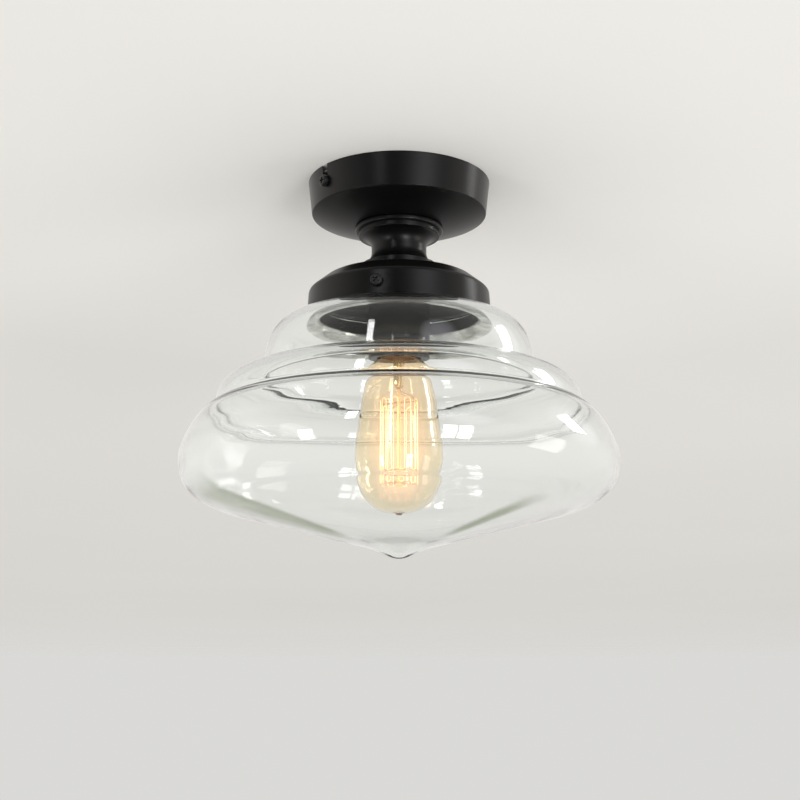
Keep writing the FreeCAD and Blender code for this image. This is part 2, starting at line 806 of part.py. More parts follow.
def socket_body():
    """The glossy outer sleeve, with a rolled lip at the mouth and a ledge for the insulator."""
    inner = socket_radius - socket_wall
    ledge = inner - insulator_ledge_height
    ledge_z = insulator_bottom_z - insulator_ledge_height
    return turned([
        (inner, socket_body_top_z),
        (socket_radius, socket_body_top_z),
        (socket_radius, socket_mouth_z, socket_edge_round),
        (socket_mouth_radius, socket_mouth_z, socket_edge_round),
        (socket_mouth_radius, socket_mouth_z + socket_lip_height),
        (inner, socket_mouth_z + socket_lip_height),
        (inner, ledge_z),
        (ledge, insulator_bottom_z),
        (inner, insulator_bottom_z),
    ])


def terminal_spot(side):
    """Where the hot (1) or neutral (-1) terminal screw stands on the insulator."""
    return FreeCAD.Vector(0, side * terminal_place_radius, socket_body_top_z)


def socket_insulator():
    """The disc that carries the socket's contacts and terminal screws."""
    disc = rod(socket_radius - socket_wall - seat_gap, insulator_bottom_z, insulator_height)
    for side in (-1, 1):
        foot = terminal_spot(side) - up * insulator_height
        disc = disc.cut(Part.makeCylinder(terminal_shank_radius + running_gap, insulator_height, foot))
    return disc


def terminal_screw(side):
    """A brass screw on top of the insulator that clamps a lead."""
    screw = slotted_screw(
        terminal_head_radius, terminal_head_height, terminal_shank_radius, insulator_height,
        terminal_slot_width, terminal_slot_depth)
    return placed(screw, terminal_spot(side), up)


def centre_contact():
    """The bent spring tongue under the insulator that meets the bulb's tip."""
    half = centre_contact_length / 2
    low = insulator_bottom_z - centre_contact_rise
    gauge = centre_contact_gauge
    quarter = half / 2
    corners = [
        (at(half, insulator_bottom_z), 0),
        (at(half, insulator_bottom_z - gauge), 0),
        (at(quarter, insulator_bottom_z - gauge), centre_contact_bend),
        (at(-quarter, low), centre_contact_bend),
        (at(-half, low), 0),
        (at(-half, low + gauge), 0),
        (at(-quarter, low + gauge), centre_contact_bend),
        (at(quarter, insulator_bottom_z), 0),
    ]
    strip = Part.Face(Part.Wire(rounded_path(corners, closed=True)))
    tongue = strip.extrude(FreeCAD.Vector(0, centre_contact_width, 0))
    tongue.translate(FreeCAD.Vector(quarter, -centre_contact_width / 2, 0))
    return tongue


def lead(side):
    """An insulated lead from a terminal screw up through the nipple to its wire connector."""
    def spot(y, z):
        return FreeCAD.Vector(0, y, z)

    offset = side * lead_spacing / 2
    terminal_y = side * (terminal_place_radius - terminal_head_radius - seat_gap)
    points = [
        spot(terminal_y, lead_terminal_z),
        spot(offset, lead_terminal_z),
        spot(offset, lead_run_z),
        spot(side * (connector_reach + connector_lead_depth), lead_run_z),
    ]
    lower = rounded_path([(points[0], 0), (points[1], lead_bend), (spot(offset, nipple_bottom_z), 0)])
    upper = rounded_path([(spot(offset, nipple_bottom_z), 0), (points[2], lead_top_bend), (points[3], 0)])
    path = Part.Wire(lower + upper)
    ring = Part.Wire(Part.makeCircle(lead_radius, points[0], (points[1] - points[0]).normalize()))
    return path.makePipeShell([ring], True, False)


def wire_connector(side):
    """A ribbed twist-on cap over a lead's end, its closed end pointing outwards."""
    grip_radius = lead_radius + loose_gap
    body = turned([
        (0, connector_grip_depth),
        (grip_radius, connector_grip_depth),
        (grip_radius, connector_mouth_depth),
        (connector_mouth_radius, 0),
        (connector_radius, 0),
        (connector_tip_radius, connector_length, connector_rib_width),
        (0, connector_length),
    ])
    for i in range(connector_rib_count):
        turn = 2 * math.pi * i / connector_rib_count
        spot = FreeCAD.Vector(connector_radius * math.cos(turn), connector_radius * math.sin(turn), 0)
        groove = Part.makeBox(
            2 * connector_rib_depth, connector_rib_width, connector_length,
            FreeCAD.Vector(-connector_rib_depth, -connector_rib_width / 2, connector_mouth_depth))
        groove.rotate(centre, up, math.degrees(turn))
        groove.translate(spot)
        body = body.cut(groove)
    outward = FreeCAD.Vector(0, side, 0)
    return placed(body, FreeCAD.Vector(0, side * connector_reach, lead_run_z), outward)


def thread_radius(mean, angle, height, low, high, low_side, high_side):
    """The wave's radius: it climbs one lead in a turn and eases to a plain round at both ends."""
    room = min(height - low, high - height) / thread_blend
    ease = max(0, min(1, room))
    weight = ease * ease * (3 - 2 * ease)
    side = low_side if height - low < high - height else high_side
    wave = math.cos(2 * math.pi * height / thread_lead - angle)
    return mean + thread_depth * (weight * wave + (1 - weight) * side)


def thread_core(mean, low, high, low_side, high_side):
    """A solid whose side is the thread's wave, between two flat ends."""
    rows = math.ceil((high - low) / thread_lead * thread_rows_per_lead)
    grid = []
    for i in range(rows + 1):
        height = low + (high - low) * i / rows
        ring = []
        for j in range(thread_steps_per_turn):
            angle = 2 * math.pi * j / thread_steps_per_turn
            radius = thread_radius(mean, angle, height, low, high, low_side, high_side)
            ring.append(FreeCAD.Vector(radius * math.cos(angle), radius * math.sin(angle), height))
        grid.append(ring + [ring[0]])
    surface = Part.BSplineSurface()
    surface.interpolate(grid)
    surface.setVPeriodic()
    side = surface.toShape()
    ends = [Part.Face(Part.Wire(edge)) for edge in side.Edges if edge.isClosed()]
    skin = Part.makeCompound([side] + ends)
    skin.sewShape()
    solid = Part.Solid(skin.Shells[0])
    return solid if solid.Volume > 0 else solid.reversed()


def socket_screw_shell():
    """The threaded brass shell of the socket, open at the mouth."""
    top_z = insulator_bottom_z
    low_z = top_z - screw_shell_height
    mean = thread_mean_radius + thread_gap
    outer_radius = mean + thread_depth + screw_shell_wall
    core = thread_core(mean, low_z - overrun, top_z + overrun, 1, 1)
    return rod(outer_radius, low_z, screw_shell_height).cut(core)


def bulb_base():
    """The threaded brass shell of the bulb."""
    core = thread_core(thread_mean_radius, base_shell_bottom_z, base_shell_top_z, -1, -1)
    return core.cut(rod(base_bore_radius, base_shell_bottom_z - overrun, base_shell_height + 2 * overrun))


def bulb_base_insulator():
    """The black glass cone between the bulb's shell and its tip contact."""
    return turned([
        (0, base_shell_top_z - base_insulator_height / 2),
        (base_insulator_radius, base_shell_top_z - base_insulator_height / 2),
        (base_insulator_radius, base_shell_top_z),
        (tip_contact_radius, base_insulator_z, base_insulator_height / 2),
        (0, base_insulator_z),
    ])


def bulb_tip_contact():
    """The round solder contact on the bulb's end."""
    return turned([
        (0, base_insulator_z),
        (tip_contact_radius, base_insulator_z),
        (tip_contact_radius, base_contact_z, tip_contact_height / 2),
        (0, base_contact_z),
    ])


def envelope_side(inset):
    """The edges of one face of the bulb's glass, from its neck to its dome's end."""
    neck_radius = bulb_neck_radius - inset
    throat = at(neck_radius, base_shell_bottom_z)
    shoulder = at(bulb_shoulder_radius - inset, bulb_shoulder_z)
    widest = at(bulb_radius - inset, bulb_widest_z)
    throat_pole = at(bulb_throat_handle[0] - inset, base_shell_bottom_z - bulb_throat_handle[1] - inset)
    handle = at(bulb_shoulder_slope_share * bulb_side_start_handle, -bulb_side_start_handle)
    dome_end = at(bulb_pip_radius, bulb_bottom_z + inset)
    dome_side = at(widest.x, widest.z + (dome_end.z - widest.z) * bulb_dome_side_share)
    dome_pole = at(widest.x * bulb_dome_end_share, dome_end.z)
    return [
        line(at(neck_radius, base_shell_bottom_z + bulb_neck_length), throat),
        curve(throat, throat_pole, shoulder - handle / 2, shoulder),
        curve(shoulder, shoulder + handle, widest + up * bulb_side_end_handle, widest),
        curve(widest, dome_side, dome_pole, dome_end),
    ], dome_end


def bulb_envelope():
    """The amber glass bulb, open at its neck, with the small pip where it was sealed."""
    outer, outer_end = envelope_side(0)
    inner, inner_end = envelope_side(bulb_glass_wall)
    top_z = base_shell_bottom_z + bulb_neck_length
    pip_z = outer_end.z - bulb_pip_height
    pip = rounded_path([
        (outer_end, 0),
        (at(bulb_pip_radius, pip_z), bulb_pip_height),
        (at(0, pip_z), 0),
        (at(0, inner_end.z), 0),
        (inner_end, 0),
    ])
    neck_top = [line(at(bulb_neck_radius - bulb_glass_wall, top_z), at(bulb_neck_radius, top_z))]
    return turned_edges(outer + inner + pip + neck_top)


def inner_lead_path(side):
    """Where one of the bulb's lead wires runs, from the stem's press to the filament's end."""
    offset = side * inner_lead_spacing / 2
    reach = side * (filament_cage_radius - filament_hook_rise)
    start = FreeCAD.Vector(offset, 0, stem_press_z + inner_lead_depth)
    bend = FreeCAD.Vector(offset, 0, stem_press_z - inner_lead_depth)
    end = FreeCAD.Vector(reach, 0, filament_top_z - filament_hook_rise)
    return start, bend, end


def bulb_stem():
    """The glass stem: a flare at the bulb's neck, a pinch that grips the lead wires, and a long rod."""
    top_z = base_shell_bottom_z + bulb_neck_length
    rod_end_z = filament_bottom_z - support_hub_height
    stem = turned([
        (0, top_z),
        (stem_flare_radius, top_z),
        (stem_neck_radius, top_z - stem_flare_height, stem_flare_height),
        (stem_neck_radius, stem_press_z, stem_rod_radius),
        (stem_rod_radius, stem_press_z),
        (stem_rod_radius, rod_end_z),
        (0, rod_end_z),
    ])
    for side in (-1, 1):
        start, bend = inner_lead_path(side)[:2]
        stem = stem.cut(strut(start, bend, inner_lead_radius + seat_gap))
    return stem


def bulb_lead_wires():
    """The two wires from the stem's pinch out to the filament."""
    wires = [wire_rod(inner_lead_path(side), inner_lead_radius, inner_lead_depth / 2) for side in (-1, 1)]
    return Part.makeCompound(wires)


def cage_spot(step, height):
    """A point of the filament's cage: step counts the strands round the circle."""
    turn = math.pi * (step + 1 / 2) / filament_loops
    return FreeCAD.Vector(
        filament_cage_radius * math.cos(turn), filament_cage_radius * math.sin(turn), height)


def bulb_filament():
    """The squirrel-cage filament: upright strands joined over the hooks, open between the two leads."""
    strands = 2 * filament_loops
    parts = []
    for step in range(strands):
        top = cage_spot(step, filament_top_z)
        bottom = cage_spot(step, filament_bottom_z)
        parts.append(strut(top, bottom, filament_wire_radius))
        parts.append(Part.makeSphere(filament_wire_radius, top))
        parts.append(Part.makeSphere(filament_wire_radius, bottom))
        if step == strands - 1:
            continue
        height = filament_top_z if step % 2 else filament_bottom_z
        parts.append(strut(cage_spot(step, height), cage_spot(step + 1, height), filament_wire_radius))
    return parts[0].fuse(parts[1:])


def bulb_support_wires():
    """The two stars of fine hooks on the stem's rod that hold the filament's loops."""
    bore = stem_rod_radius + seat_gap
    short = filament_wire_radius + support_wire_radius + seat_gap
    stars = []
    rings = (
        (filament_top_z, 1, filament_loops - 1),
        (filament_bottom_z, 0, filament_loops),
    )
    for height, first, count in rings:
        middle = at(0, height)
        hub = washer(support_hub_radius, bore, height - support_hub_height / 2, support_hub_height)
        arms = []
        for i in range(count):
            step = 2 * i + first
            arm = (cage_spot(step, height) + cage_spot(step + 1, height)) / 2 - middle
            reach = arm.Length - short
            outward = arm.normalize()
            arms.append(strut(middle + outward * bore, middle + outward * reach, support_wire_radius))
        stars.append(hub.fuse(arms))
    return Part.makeCompound(stars)


def flat_washer():
    """The wide washer that spreads the upper nut's load over the canopy's floor."""
    return washer(flat_washer_radius, nipple_radius + running_gap, canopy_inside_z, flat_washer_gauge)


def main():
    os.makedirs("parts", exist_ok=True)
    pieces = {
        "mounting_bracket": mounting_bracket(),
        "ground_screw": ground_screw(),
        "ring_terminal": ring_terminal(),
        "ground_lead": ground_lead(),
        "canopy": canopy(),
        "neck": neck(),
        "shade_holder": shade_holder(),
        "threaded_nipple": threaded_nipple(),
        "nipple_bushing": nipple_bushing(),
        "flat_washer": flat_washer(),
        "upper_lock_washer": lock_washer(ring_terminal_z),
        "upper_nut": hex_nut(upper_washer_z),
        "lower_lock_washer": lock_washer(lower_washer_z),
        "lower_nut": hex_nut(lower_nut_z),
        "socket_cap": socket_cap(),
        "socket_set_screw": socket_set_screw(),
        "socket_body": socket_body(),
        "socket_insulator": socket_insulator(),
        "socket_screw_shell": socket_screw_shell(),
        "socket_centre_contact": centre_contact(),
        "hot_terminal_screw": terminal_screw(1),
        "neutral_terminal_screw": terminal_screw(-1),
        "hot_lead": lead(1),
        "neutral_lead": lead(-1),
        "hot_wire_connector": wire_connector(1),
        "neutral_wire_connector": wire_connector(-1),
        "bulb_base": bulb_base(),
        "bulb_base_insulator": bulb_base_insulator(),
        "bulb_tip_contact": bulb_tip_contact(),
        "bulb_envelope": bulb_envelope(),
        "bulb_stem": bulb_stem(),
        "bulb_lead_wires": bulb_lead_wires(),
        "bulb_filament": bulb_filament(),
        "bulb_support_wires": bulb_support_wires(),
        "glass_shade": glass_shade(),
    }
    for number, angle in enumerate(shade_screw_angles, start=1):
        pieces[f"shade_screw_{number}"] = shade_screw(angle)
    for number, side in enumerate((-1, 1), start=1):
        pieces[f"canopy_screw_{number}"] = canopy_screw(side)
    for name, shape in pieces.items():
        shape.exportStep(f"parts/{name}.step")
        state = "valid" if shape.isValid() else "NOT VALID"
        print(name, len(shape.Solids), "solids", round(shape.Volume), "mm3", state)


main()
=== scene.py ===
# %% [markdown]
# This scene dresses a flush ceiling light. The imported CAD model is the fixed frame: it gives every
# node at its real size, in metres, with the origin in the plane of the ceiling and +Z up. Metal and
# plastic nodes keep their CAD shape and get a finish. The glass and the lamp's filament are made
# again here, as light passing through them needs finer surfaces than a CAD export gives.

# %% Load the frame
import json
import math
import bmesh
import bpy
import numpy as np
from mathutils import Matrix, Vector


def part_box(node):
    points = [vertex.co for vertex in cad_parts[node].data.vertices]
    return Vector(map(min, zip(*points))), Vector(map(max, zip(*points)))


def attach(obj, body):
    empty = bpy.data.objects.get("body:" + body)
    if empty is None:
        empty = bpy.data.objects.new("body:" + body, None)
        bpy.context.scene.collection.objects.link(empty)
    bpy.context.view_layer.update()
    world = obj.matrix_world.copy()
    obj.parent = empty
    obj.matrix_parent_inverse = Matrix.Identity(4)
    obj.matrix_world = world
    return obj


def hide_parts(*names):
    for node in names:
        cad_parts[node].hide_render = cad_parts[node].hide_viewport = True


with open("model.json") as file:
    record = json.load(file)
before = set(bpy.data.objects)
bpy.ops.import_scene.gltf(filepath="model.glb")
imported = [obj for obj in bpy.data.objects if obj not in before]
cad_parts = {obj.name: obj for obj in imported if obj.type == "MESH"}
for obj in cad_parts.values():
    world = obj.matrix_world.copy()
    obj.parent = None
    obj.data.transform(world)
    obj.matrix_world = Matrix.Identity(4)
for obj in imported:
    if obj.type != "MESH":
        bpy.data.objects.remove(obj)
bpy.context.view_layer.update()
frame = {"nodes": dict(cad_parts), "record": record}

# %% [markdown]
# The photograph looks up at the light from the left of its front. A pinhole camera was fitted to five of
# its outlines: that gives the focal length in pixels, the camera's distance and height, and its tilt. The
# view transform stays Standard, so a colour is shown as it is written.

# %% Camera
photo_pixels = 800
focal_pixels = 1500
sensor_width = 36.0
camera_distance = 0.99625
camera_height = -0.3844
camera_azimuth = math.radians(-37.0)
camera_aim = math.radians(-37.04)
camera_tilt_up = 12.95

lens = bpy.data.cameras.new("photo_camera")
lens.sensor_width = sensor_width
lens.lens = sensor_width * focal_pixels / photo_pixels
camera = bpy.data.objects.new("photo_camera", lens)
camera.location = (
    camera_distance * math.sin(camera_azimuth),
    -camera_distance * math.cos(camera_azimuth),
    camera_height,
)
camera.rotation_euler = (math.radians(90 + camera_tilt_up), 0, camera_aim)
scene = bpy.context.scene
scene.collection.objects.link(camera)
scene.camera = camera
scene.view_settings.view_transform = "Standard"
print("lens", round(lens.lens, 2), "mm, camera at", [round(v, 3) for v in camera.location])

# %% [markdown]
# Materials are written as sums. Value wraps one output socket of a node, and + - * / on it add the Math
# nodes that do it, so that a line of Python reads like the formula. Finish collects the nodes of one
# material. Its node() takes a node's type, its settings and its inputs, and gives back one output.


# %% Sums of sockets
def operator(operation, reflected=False):
    """A method that adds a Math node. Where it is reflected, the other term comes first."""
    def method(self, other):
        first, second = (other, self) if reflected else (self, other)
        return self.finish.node("Math", {"operation": operation}, {0: first, 1: second})
    return method


class Value:
    """An output socket in a finish. Python's operators on it add Math nodes."""

    def __init__(self, finish, socket):
        self.finish = finish
        self.socket = socket

    __add__ = operator("ADD")
    __radd__ = operator("ADD", reflected=True)
    __sub__ = operator("SUBTRACT")
    __rsub__ = operator("SUBTRACT", reflected=True)
    __mul__ = operator("MULTIPLY")
    __rmul__ = operator("MULTIPLY", reflected=True)
    __truediv__ = operator("DIVIDE")
    __rtruediv__ = operator("DIVIDE", reflected=True)


class Finish:
    """One node tree: a material's, or the world's."""

    def __init__(self, owner):
        owner.use_nodes = True
        self.owner = owner
        self.tree = owner.node_tree
        self.tree.nodes.clear()

    def node(self, kind, settings=None, inputs=None, output=0):
        """Adds a node of this kind, sets its settings first and then its inputs, and gives back one
        output. Every node's type starts with ShaderNode, so the kind leaves that out."""
        node = self.tree.nodes.new("ShaderNode" + kind)
        for name, setting in (settings or {}).items():
            if name == "stops":
                self.set_stops(node.color_ramp, setting)
            else:
                setattr(node, name, setting)
        for key, given in (inputs or {}).items():
            if isinstance(given, Value):
                self.tree.links.new(given.socket, node.inputs[key])
            else:
                node.inputs[key].default_value = given
        return Value(self, node.outputs[output]) if node.outputs else None

    def set_stops(self, ramp, stops):
        """Puts (position, colour) stops on a colour ramp."""
        while len(ramp.elements) < len(stops):
            ramp.elements.new(1)
        for element, (position, colour) in zip(ramp.elements, stops):
            element.position = position
            element.color = colour

    def principled(self, inputs):
        return self.node("BsdfPrincipled", None, inputs)

    def place(self):
        """Where a point is on the piece, in metres: Object coordinates."""
        return self.node("TexCoord", output="Object")

    def height(self, place):
        """The Z of a place or a direction."""
        return self.node("SeparateXYZ", None, {0: place}, "Z")

    def length(self, vector):
        return self.node("VectorMath", {"operation": "LENGTH"}, {0: vector}, "Value")

    def reach(self, vector, direction):
        """How far a vector reaches in a fixed direction: their dot product."""
        return self.node("VectorMath", {"operation": "DOT_PRODUCT"}, {0: vector, 1: direction}, "Value")

    def noise(self, scale, detail=2.0, place=None):
        """Smooth noise from 0 to 1. Its cells are about 1 / scale metres wide."""
        vector = self.place() if place is None else place
        return self.node("TexNoise", None, {"Vector": vector, "Scale": scale, "Detail": detail})

    def times(self, place, factors):
        return self.node("VectorMath", {"operation": "MULTIPLY"}, {0: place, 1: factors})

    def stretched(self, scales):
        """Noise with its own scale along X, Y and Z. It runs long where the scale is small."""
        return self.noise(1.0, place=self.times(self.place(), scales))

    def ramp(self, value, low, high):
        """0 where value is under low, 1 over high and an even slope between."""
        inputs = {"Value": value, "From Min": low, "From Max": high}
        return self.node("MapRange", {"clamp": True}, inputs)

    def blend(self, share, first, second):
        """first where share is 0, second where it is 1. The colours are a Mix node's sockets 6 and 7."""
        return self.node("Mix", {"data_type": "RGBA"}, {0: share, 6: first, 7: second}, output=2)

    def bump(self, height, depth, strength):
        """A normal that tilts as if the surface rose by height times depth metres."""
        inputs = {"Height": height, "Distance": depth, "Strength": strength}
        return self.node("Bump", None, inputs)

    def surface(self, shader, **more):
        """Joins the finished shader to the material's output and gives the material back."""
        self.node("OutputMaterial", None, {"Surface": shader, **more})
        return self.owner

    def principled_surface(self, inputs):
        return self.surface(self.principled(inputs))


def start_finish(name):
    return Finish(bpy.data.materials.new(name))


def rgb(red, green, blue):
    return (red, green, blue, 1.0)


print("finishes can be written as sums")

# %% [markdown]
# Every piece made here is a grid of points whose columns go all the way round: round the light's axis,
# or round a wire.

# %% Grids of points into meshes
weld_distance = 1e-7


def full_turn(segments):
    """The angles of that many even steps round the axis, as one row."""
    return np.linspace(0, 2 * np.pi, segments, endpoint=False)[None]


def swept(radius, turn, height):
    """The grid of points (radius cos a, radius sin a, height) for the angles a of the turn."""
    height = np.broadcast_to(height, np.broadcast(radius, turn).shape)
    return np.stack([radius * np.cos(turn), radius * np.sin(turn), height], axis=-1)


def surface(name, points):
    """A mesh from points[i, j]: each face joins node (i, j) to its neighbours (i, j + 1),
    (i + 1, j + 1) and (i + 1, j), and the last column is joined to the first. Points that fall
    together are merged, and the faces are turned outwards."""
    rows, columns = points.shape[:2]
    i, j = np.meshgrid(np.arange(rows - 1), np.arange(columns), indexing="ij")
    beside = (j + 1) % columns
    below = i + 1
    corners = [i * columns + j, i * columns + beside, below * columns + beside, below * columns + j]
    faces = np.stack(corners, axis=-1).reshape(-1, 4)
    mesh = bpy.data.meshes.new(name)
    mesh.from_pydata(points.reshape(-1, 3), [], faces)
    work = bmesh.new()
    work.from_mesh(mesh)
    bmesh.ops.remove_doubles(work, verts=work.verts, dist=weld_distance)
    bmesh.ops.dissolve_degenerate(work, edges=work.edges, dist=weld_distance)
    bmesh.ops.recalc_face_normals(work, faces=work.faces)
    work.to_mesh(mesh)
    work.free()
    mesh.shade_smooth()
    return mesh


def show(name, mesh, material):
    """A new object at the origin with this mesh and finish."""
    piece = bpy.data.objects.new(name, mesh)
    mesh.materials.append(material)
    scene.collection.objects.link(piece)
    return piece


print("grids can become meshes")

# %% [markdown]
# The stage stays plain: a pale ceiling that the light hangs from. Seen from above it is clear, so that
# the light can be seen from all sides, and far away it fades into the background. It keeps the light's
# soft shadow, and its paint is a little paler near the lamp: a painted pool of light.

# %% Ceiling
ceiling_start_radius = 0.004
ceiling_lift = 0.0002
ceiling_reach = 6.0
ceiling_fade_start = 3.2
ceiling_rings = 60
ceiling_segments = 128
ceiling_colour = (0.80, 0.785, 0.755)
ceiling_painted_glow_start = 0.10
ceiling_painted_glow_reach = 0.55
ceiling_tone = 0.97
ceiling_mottle_tone = 0.05
ceiling_painted_glow_tone = 0.14
ceiling_grain_depth = 0.0002


def ceiling_finish():
    """Matt paint from below. From above, and beyond its fading edge, it is clear."""
    finish = start_finish("pale_ceiling")
    distance = finish.length(finish.place())
    mottle = finish.noise(1.3, 3.0)
    # Painted pool of light: the paint is made paler towards the lamp.
    near = finish.ramp(distance, ceiling_painted_glow_reach, ceiling_painted_glow_start)
    tone = ceiling_tone + mottle * ceiling_mottle_tone + near * ceiling_painted_glow_tone
    paint = finish.node("VectorMath", {"operation": "SCALE"}, {0: ceiling_colour, 3: tone})
    matt = finish.principled({
        "Base Color": paint,
        "Roughness": 1.0,
        "Specular IOR Level": 0.0,
        "Normal": finish.bump(finish.noise(900.0, 3.0), ceiling_grain_depth, 0.25),
    })
    clear = finish.node("BsdfTransparent")
    above = finish.node("NewGeometry", output="Backfacing")
    far = finish.ramp(distance, ceiling_fade_start, ceiling_reach)
    share = 1 - (1 - above) * (1 - far)
    return finish.surface(finish.node("MixShader", None, {0: share, 1: matt, 2: clear}))


def ceiling():
    """A flat ring whose circles are spaced by equal ratios, so that it is fine near the light. Metal
    and glass don't mirror it, and what is seen through the glass is the room's light instead."""
    radius = np.geomspace(ceiling_start_radius, ceiling_reach, ceiling_rings)[:, None]
    points = swept(radius, full_turn(ceiling_segments), ceiling_lift)
    piece = show("ceiling", surface("ceiling", points), ceiling_finish())
    if piece.data.polygons[0].normal.z > 0:
        piece.data.flip_normals()
    piece.visible_glossy = False
    piece.visible_transmission = False
    return piece


print("ceiling faces down:", ceiling().data.polygons[0].normal.z < 0)

# %% [markdown]
# Clear glass shows nothing but its surroundings, so these are uneven, as a room is: brightest near the
# horizon, darker above, below and behind the camera. What a surface mirrors and what comes through the
# glass have their own colours, and each has one bright spot. The camera sees an even, pale backdrop.

# %% Room light
camera_side = (0.15, 0.72)
mirrored = {
    "stops": [
        (0.0, rgb(0.05, 0.05, 0.05)),
        (0.28, rgb(0.42, 0.41, 0.40)),
        (0.46, rgb(0.80, 0.78, 0.76)),
        (0.60, rgb(0.90, 0.87, 0.83)),
        (1.0, rgb(0.60, 0.59, 0.57)),
    ],
    "behind_camera": rgb(0.045, 0.043, 0.042),
    "spot": {"azimuth": 34.0, "height": 20.0, "edge": 0.955, "full": 0.995},
    "spot_colour": rgb(2.6, 2.6, 2.8),
}
through = {
    "stops": [
        (0.0, rgb(0.80, 0.79, 0.76)),
        (0.48, rgb(0.90, 0.875, 0.855)),
        (0.56, rgb(0.86, 0.835, 0.815)),
        (0.68, rgb(0.74, 0.72, 0.70)),
        (1.0, rgb(0.64, 0.63, 0.61)),
    ],
    "behind_camera": rgb(0.74, 0.73, 0.70),
    "spot": {"azimuth": 108.0, "height": 21.0, "edge": 0.94, "full": 0.98},
    "spot_colour": rgb(1.7, 1.7, 1.72),
}
soft_light = rgb(0.84, 0.835, 0.82)
backdrop_colour = rgb(0.70, 0.695, 0.68)


def bright_spot(finish, direction, azimuth, height, edge, full):
    """1 where a ray points this way, in degrees to the right of the camera and above the horizon: the
    cosine of the angle between the two, from the spot's soft edge to its full part."""
    turn = camera_azimuth + math.radians(azimuth)
    rise = math.radians(height)
    spot = (math.sin(turn) * math.cos(rise), -math.cos(turn) * math.cos(rise), math.sin(rise))
    return finish.ramp(finish.reach(direction, spot), edge, full)


def room_light():
    """The world. A ray's kind picks the set of colours, and its direction picks the one in the set."""
    world = bpy.data.worlds.new("room")
    scene.world = world
    finish = Finish(world)
    direction = finish.node("TexCoord", output="Generated")
    height = finish.height(direction) * 0.5 + 0.5
    front = (math.sin(camera_azimuth), -math.cos(camera_azimuth), 0.0)
    near_camera = finish.ramp(finish.reach(direction, front), *camera_side)
    colour = soft_light
    for ray, room in (("Is Glossy Ray", mirrored), ("Is Transmission Ray", through)):
        seen = finish.node("ValToRGB", {"stops": room["stops"]}, {0: height})
        seen = finish.blend(near_camera, seen, room["behind_camera"])
        seen = finish.blend(bright_spot(finish, direction, **room["spot"]), seen, room["spot_colour"])
        colour = finish.blend(finish.node("LightPath", output=ray), colour, seen)
    colour = finish.blend(finish.node("LightPath", output="Is Camera Ray"), colour, backdrop_colour)
    light = finish.node("Background", None, {"Color": colour, "Strength": 1.0})
    finish.node("OutputWorld", None, {"Surface": light})
    return world


print("the world is called", room_light().name)

# %% [markdown]
# The windows are soft area lamps. Four front panes, right of the camera, give the square glints on
# glass and metal. The key pane, further right, throws the soft shadow on the ceiling. The upper and side
# panes stand above the ceiling's height, and the left pane lifts the shadow side.

# %% Windows
window_aim_height = -0.14
daylight = (1.0, 1.0, 1.0)
warm_daylight = (1.0, 0.985, 0.96)
cool_daylight = (0.95, 0.98, 1.0)


def window(name, azimuth, distance, low, high, width, brightness, colour):
    """A bright pane that faces the light. Its power is its brightness times pi times its area, and its
    azimuth is in degrees to the right of the camera."""
    height = high - low
    lamp = bpy.data.lights.new(name, "AREA")
    lamp.shape = "RECTANGLE"
    lamp.size = width
    lamp.size_y = height
    lamp.energy = brightness * math.pi * width * height
    lamp.color = colour
    pane = bpy.data.objects.new(name, lamp)
    turn = camera_azimuth + math.radians(azimuth)
    pane.location = (distance * math.sin(turn), -distance * math.cos(turn), (low + high) / 2)
    aim = Vector((0, 0, window_aim_height)) - pane.location
    pane.rotation_euler = aim.to_track_quat("-Z", "Y").to_euler()
    scene.collection.objects.link(pane)
    return pane


# Name, azimuth, distance, low, high, width, brightness, colour.
window_rows = (
    ("front_pane_upper_left", 24.5, 2.4, -0.66, -0.10, 0.28, 11.0, daylight),
    ("front_pane_upper_right", 32.5, 2.4, -0.66, -0.10, 0.28, 11.0, daylight),
    ("front_pane_lower_left", 24.5, 2.4, -1.30, -0.74, 0.28, 11.0, daylight),
    ("front_pane_lower_right", 32.5, 2.4, -1.30, -0.74, 0.28, 11.0, daylight),
    ("key_pane", 80.0, 2.3, -1.25, -0.12, 0.8, 2.2, warm_daylight),
    ("upper_pane", -24.0, 2.4, 0.40, 1.40, 0.22, 12.0, daylight),
    ("side_pane", 104.0, 2.4, 0.50, 1.30, 0.45, 12.0, daylight),
    ("left_pane", -46.0, 2.6, -1.2, -0.2, 0.34, 9.0, cool_daylight),
)
panes = [window(*row) for row in window_rows]
print(len(panes), "windows stand round the light")

# %% [markdown]
# A profile is drawn as the CAD model draws it: runs, arcs and Bezier curves, each a short array of
# (radius, height) rows. Joined in order they make one line, which swept() turns round the axis.


# %% Curves of a profile
def run(start, end, count):
    """Points evenly spaced from start to end, the end left out: start + t (end - start)."""
    t = np.linspace(0, 1, count, endpoint=False)[:, None]
    return np.asarray(start) + t * (np.asarray(end) - np.asarray(start))


def arc(middle, radius, start, end, count):
    """middle + radius (cos a, sin a), where a runs from start to end degrees, the end left out."""
    a = np.radians(np.linspace(start, end, count, endpoint=False))
    return np.asarray(middle) + radius * np.stack([np.cos(a), np.sin(a)], axis=-1)


def bezier(a, b, c, d, count):
    """(1-t)^3 a + 3 (1-t)^2 t b + 3 (1-t) t^2 c + t^3 d for t from 0 up to 1, the end left out."""
    t = np.linspace(0, 1, count, endpoint=False)[:, None]
    s = 1 - t
    return s**3 * np.array(a) + 3 * s**2 * t * np.array(b) + 3 * s * t**2 * np.array(c) + t**3 * np.array(d)


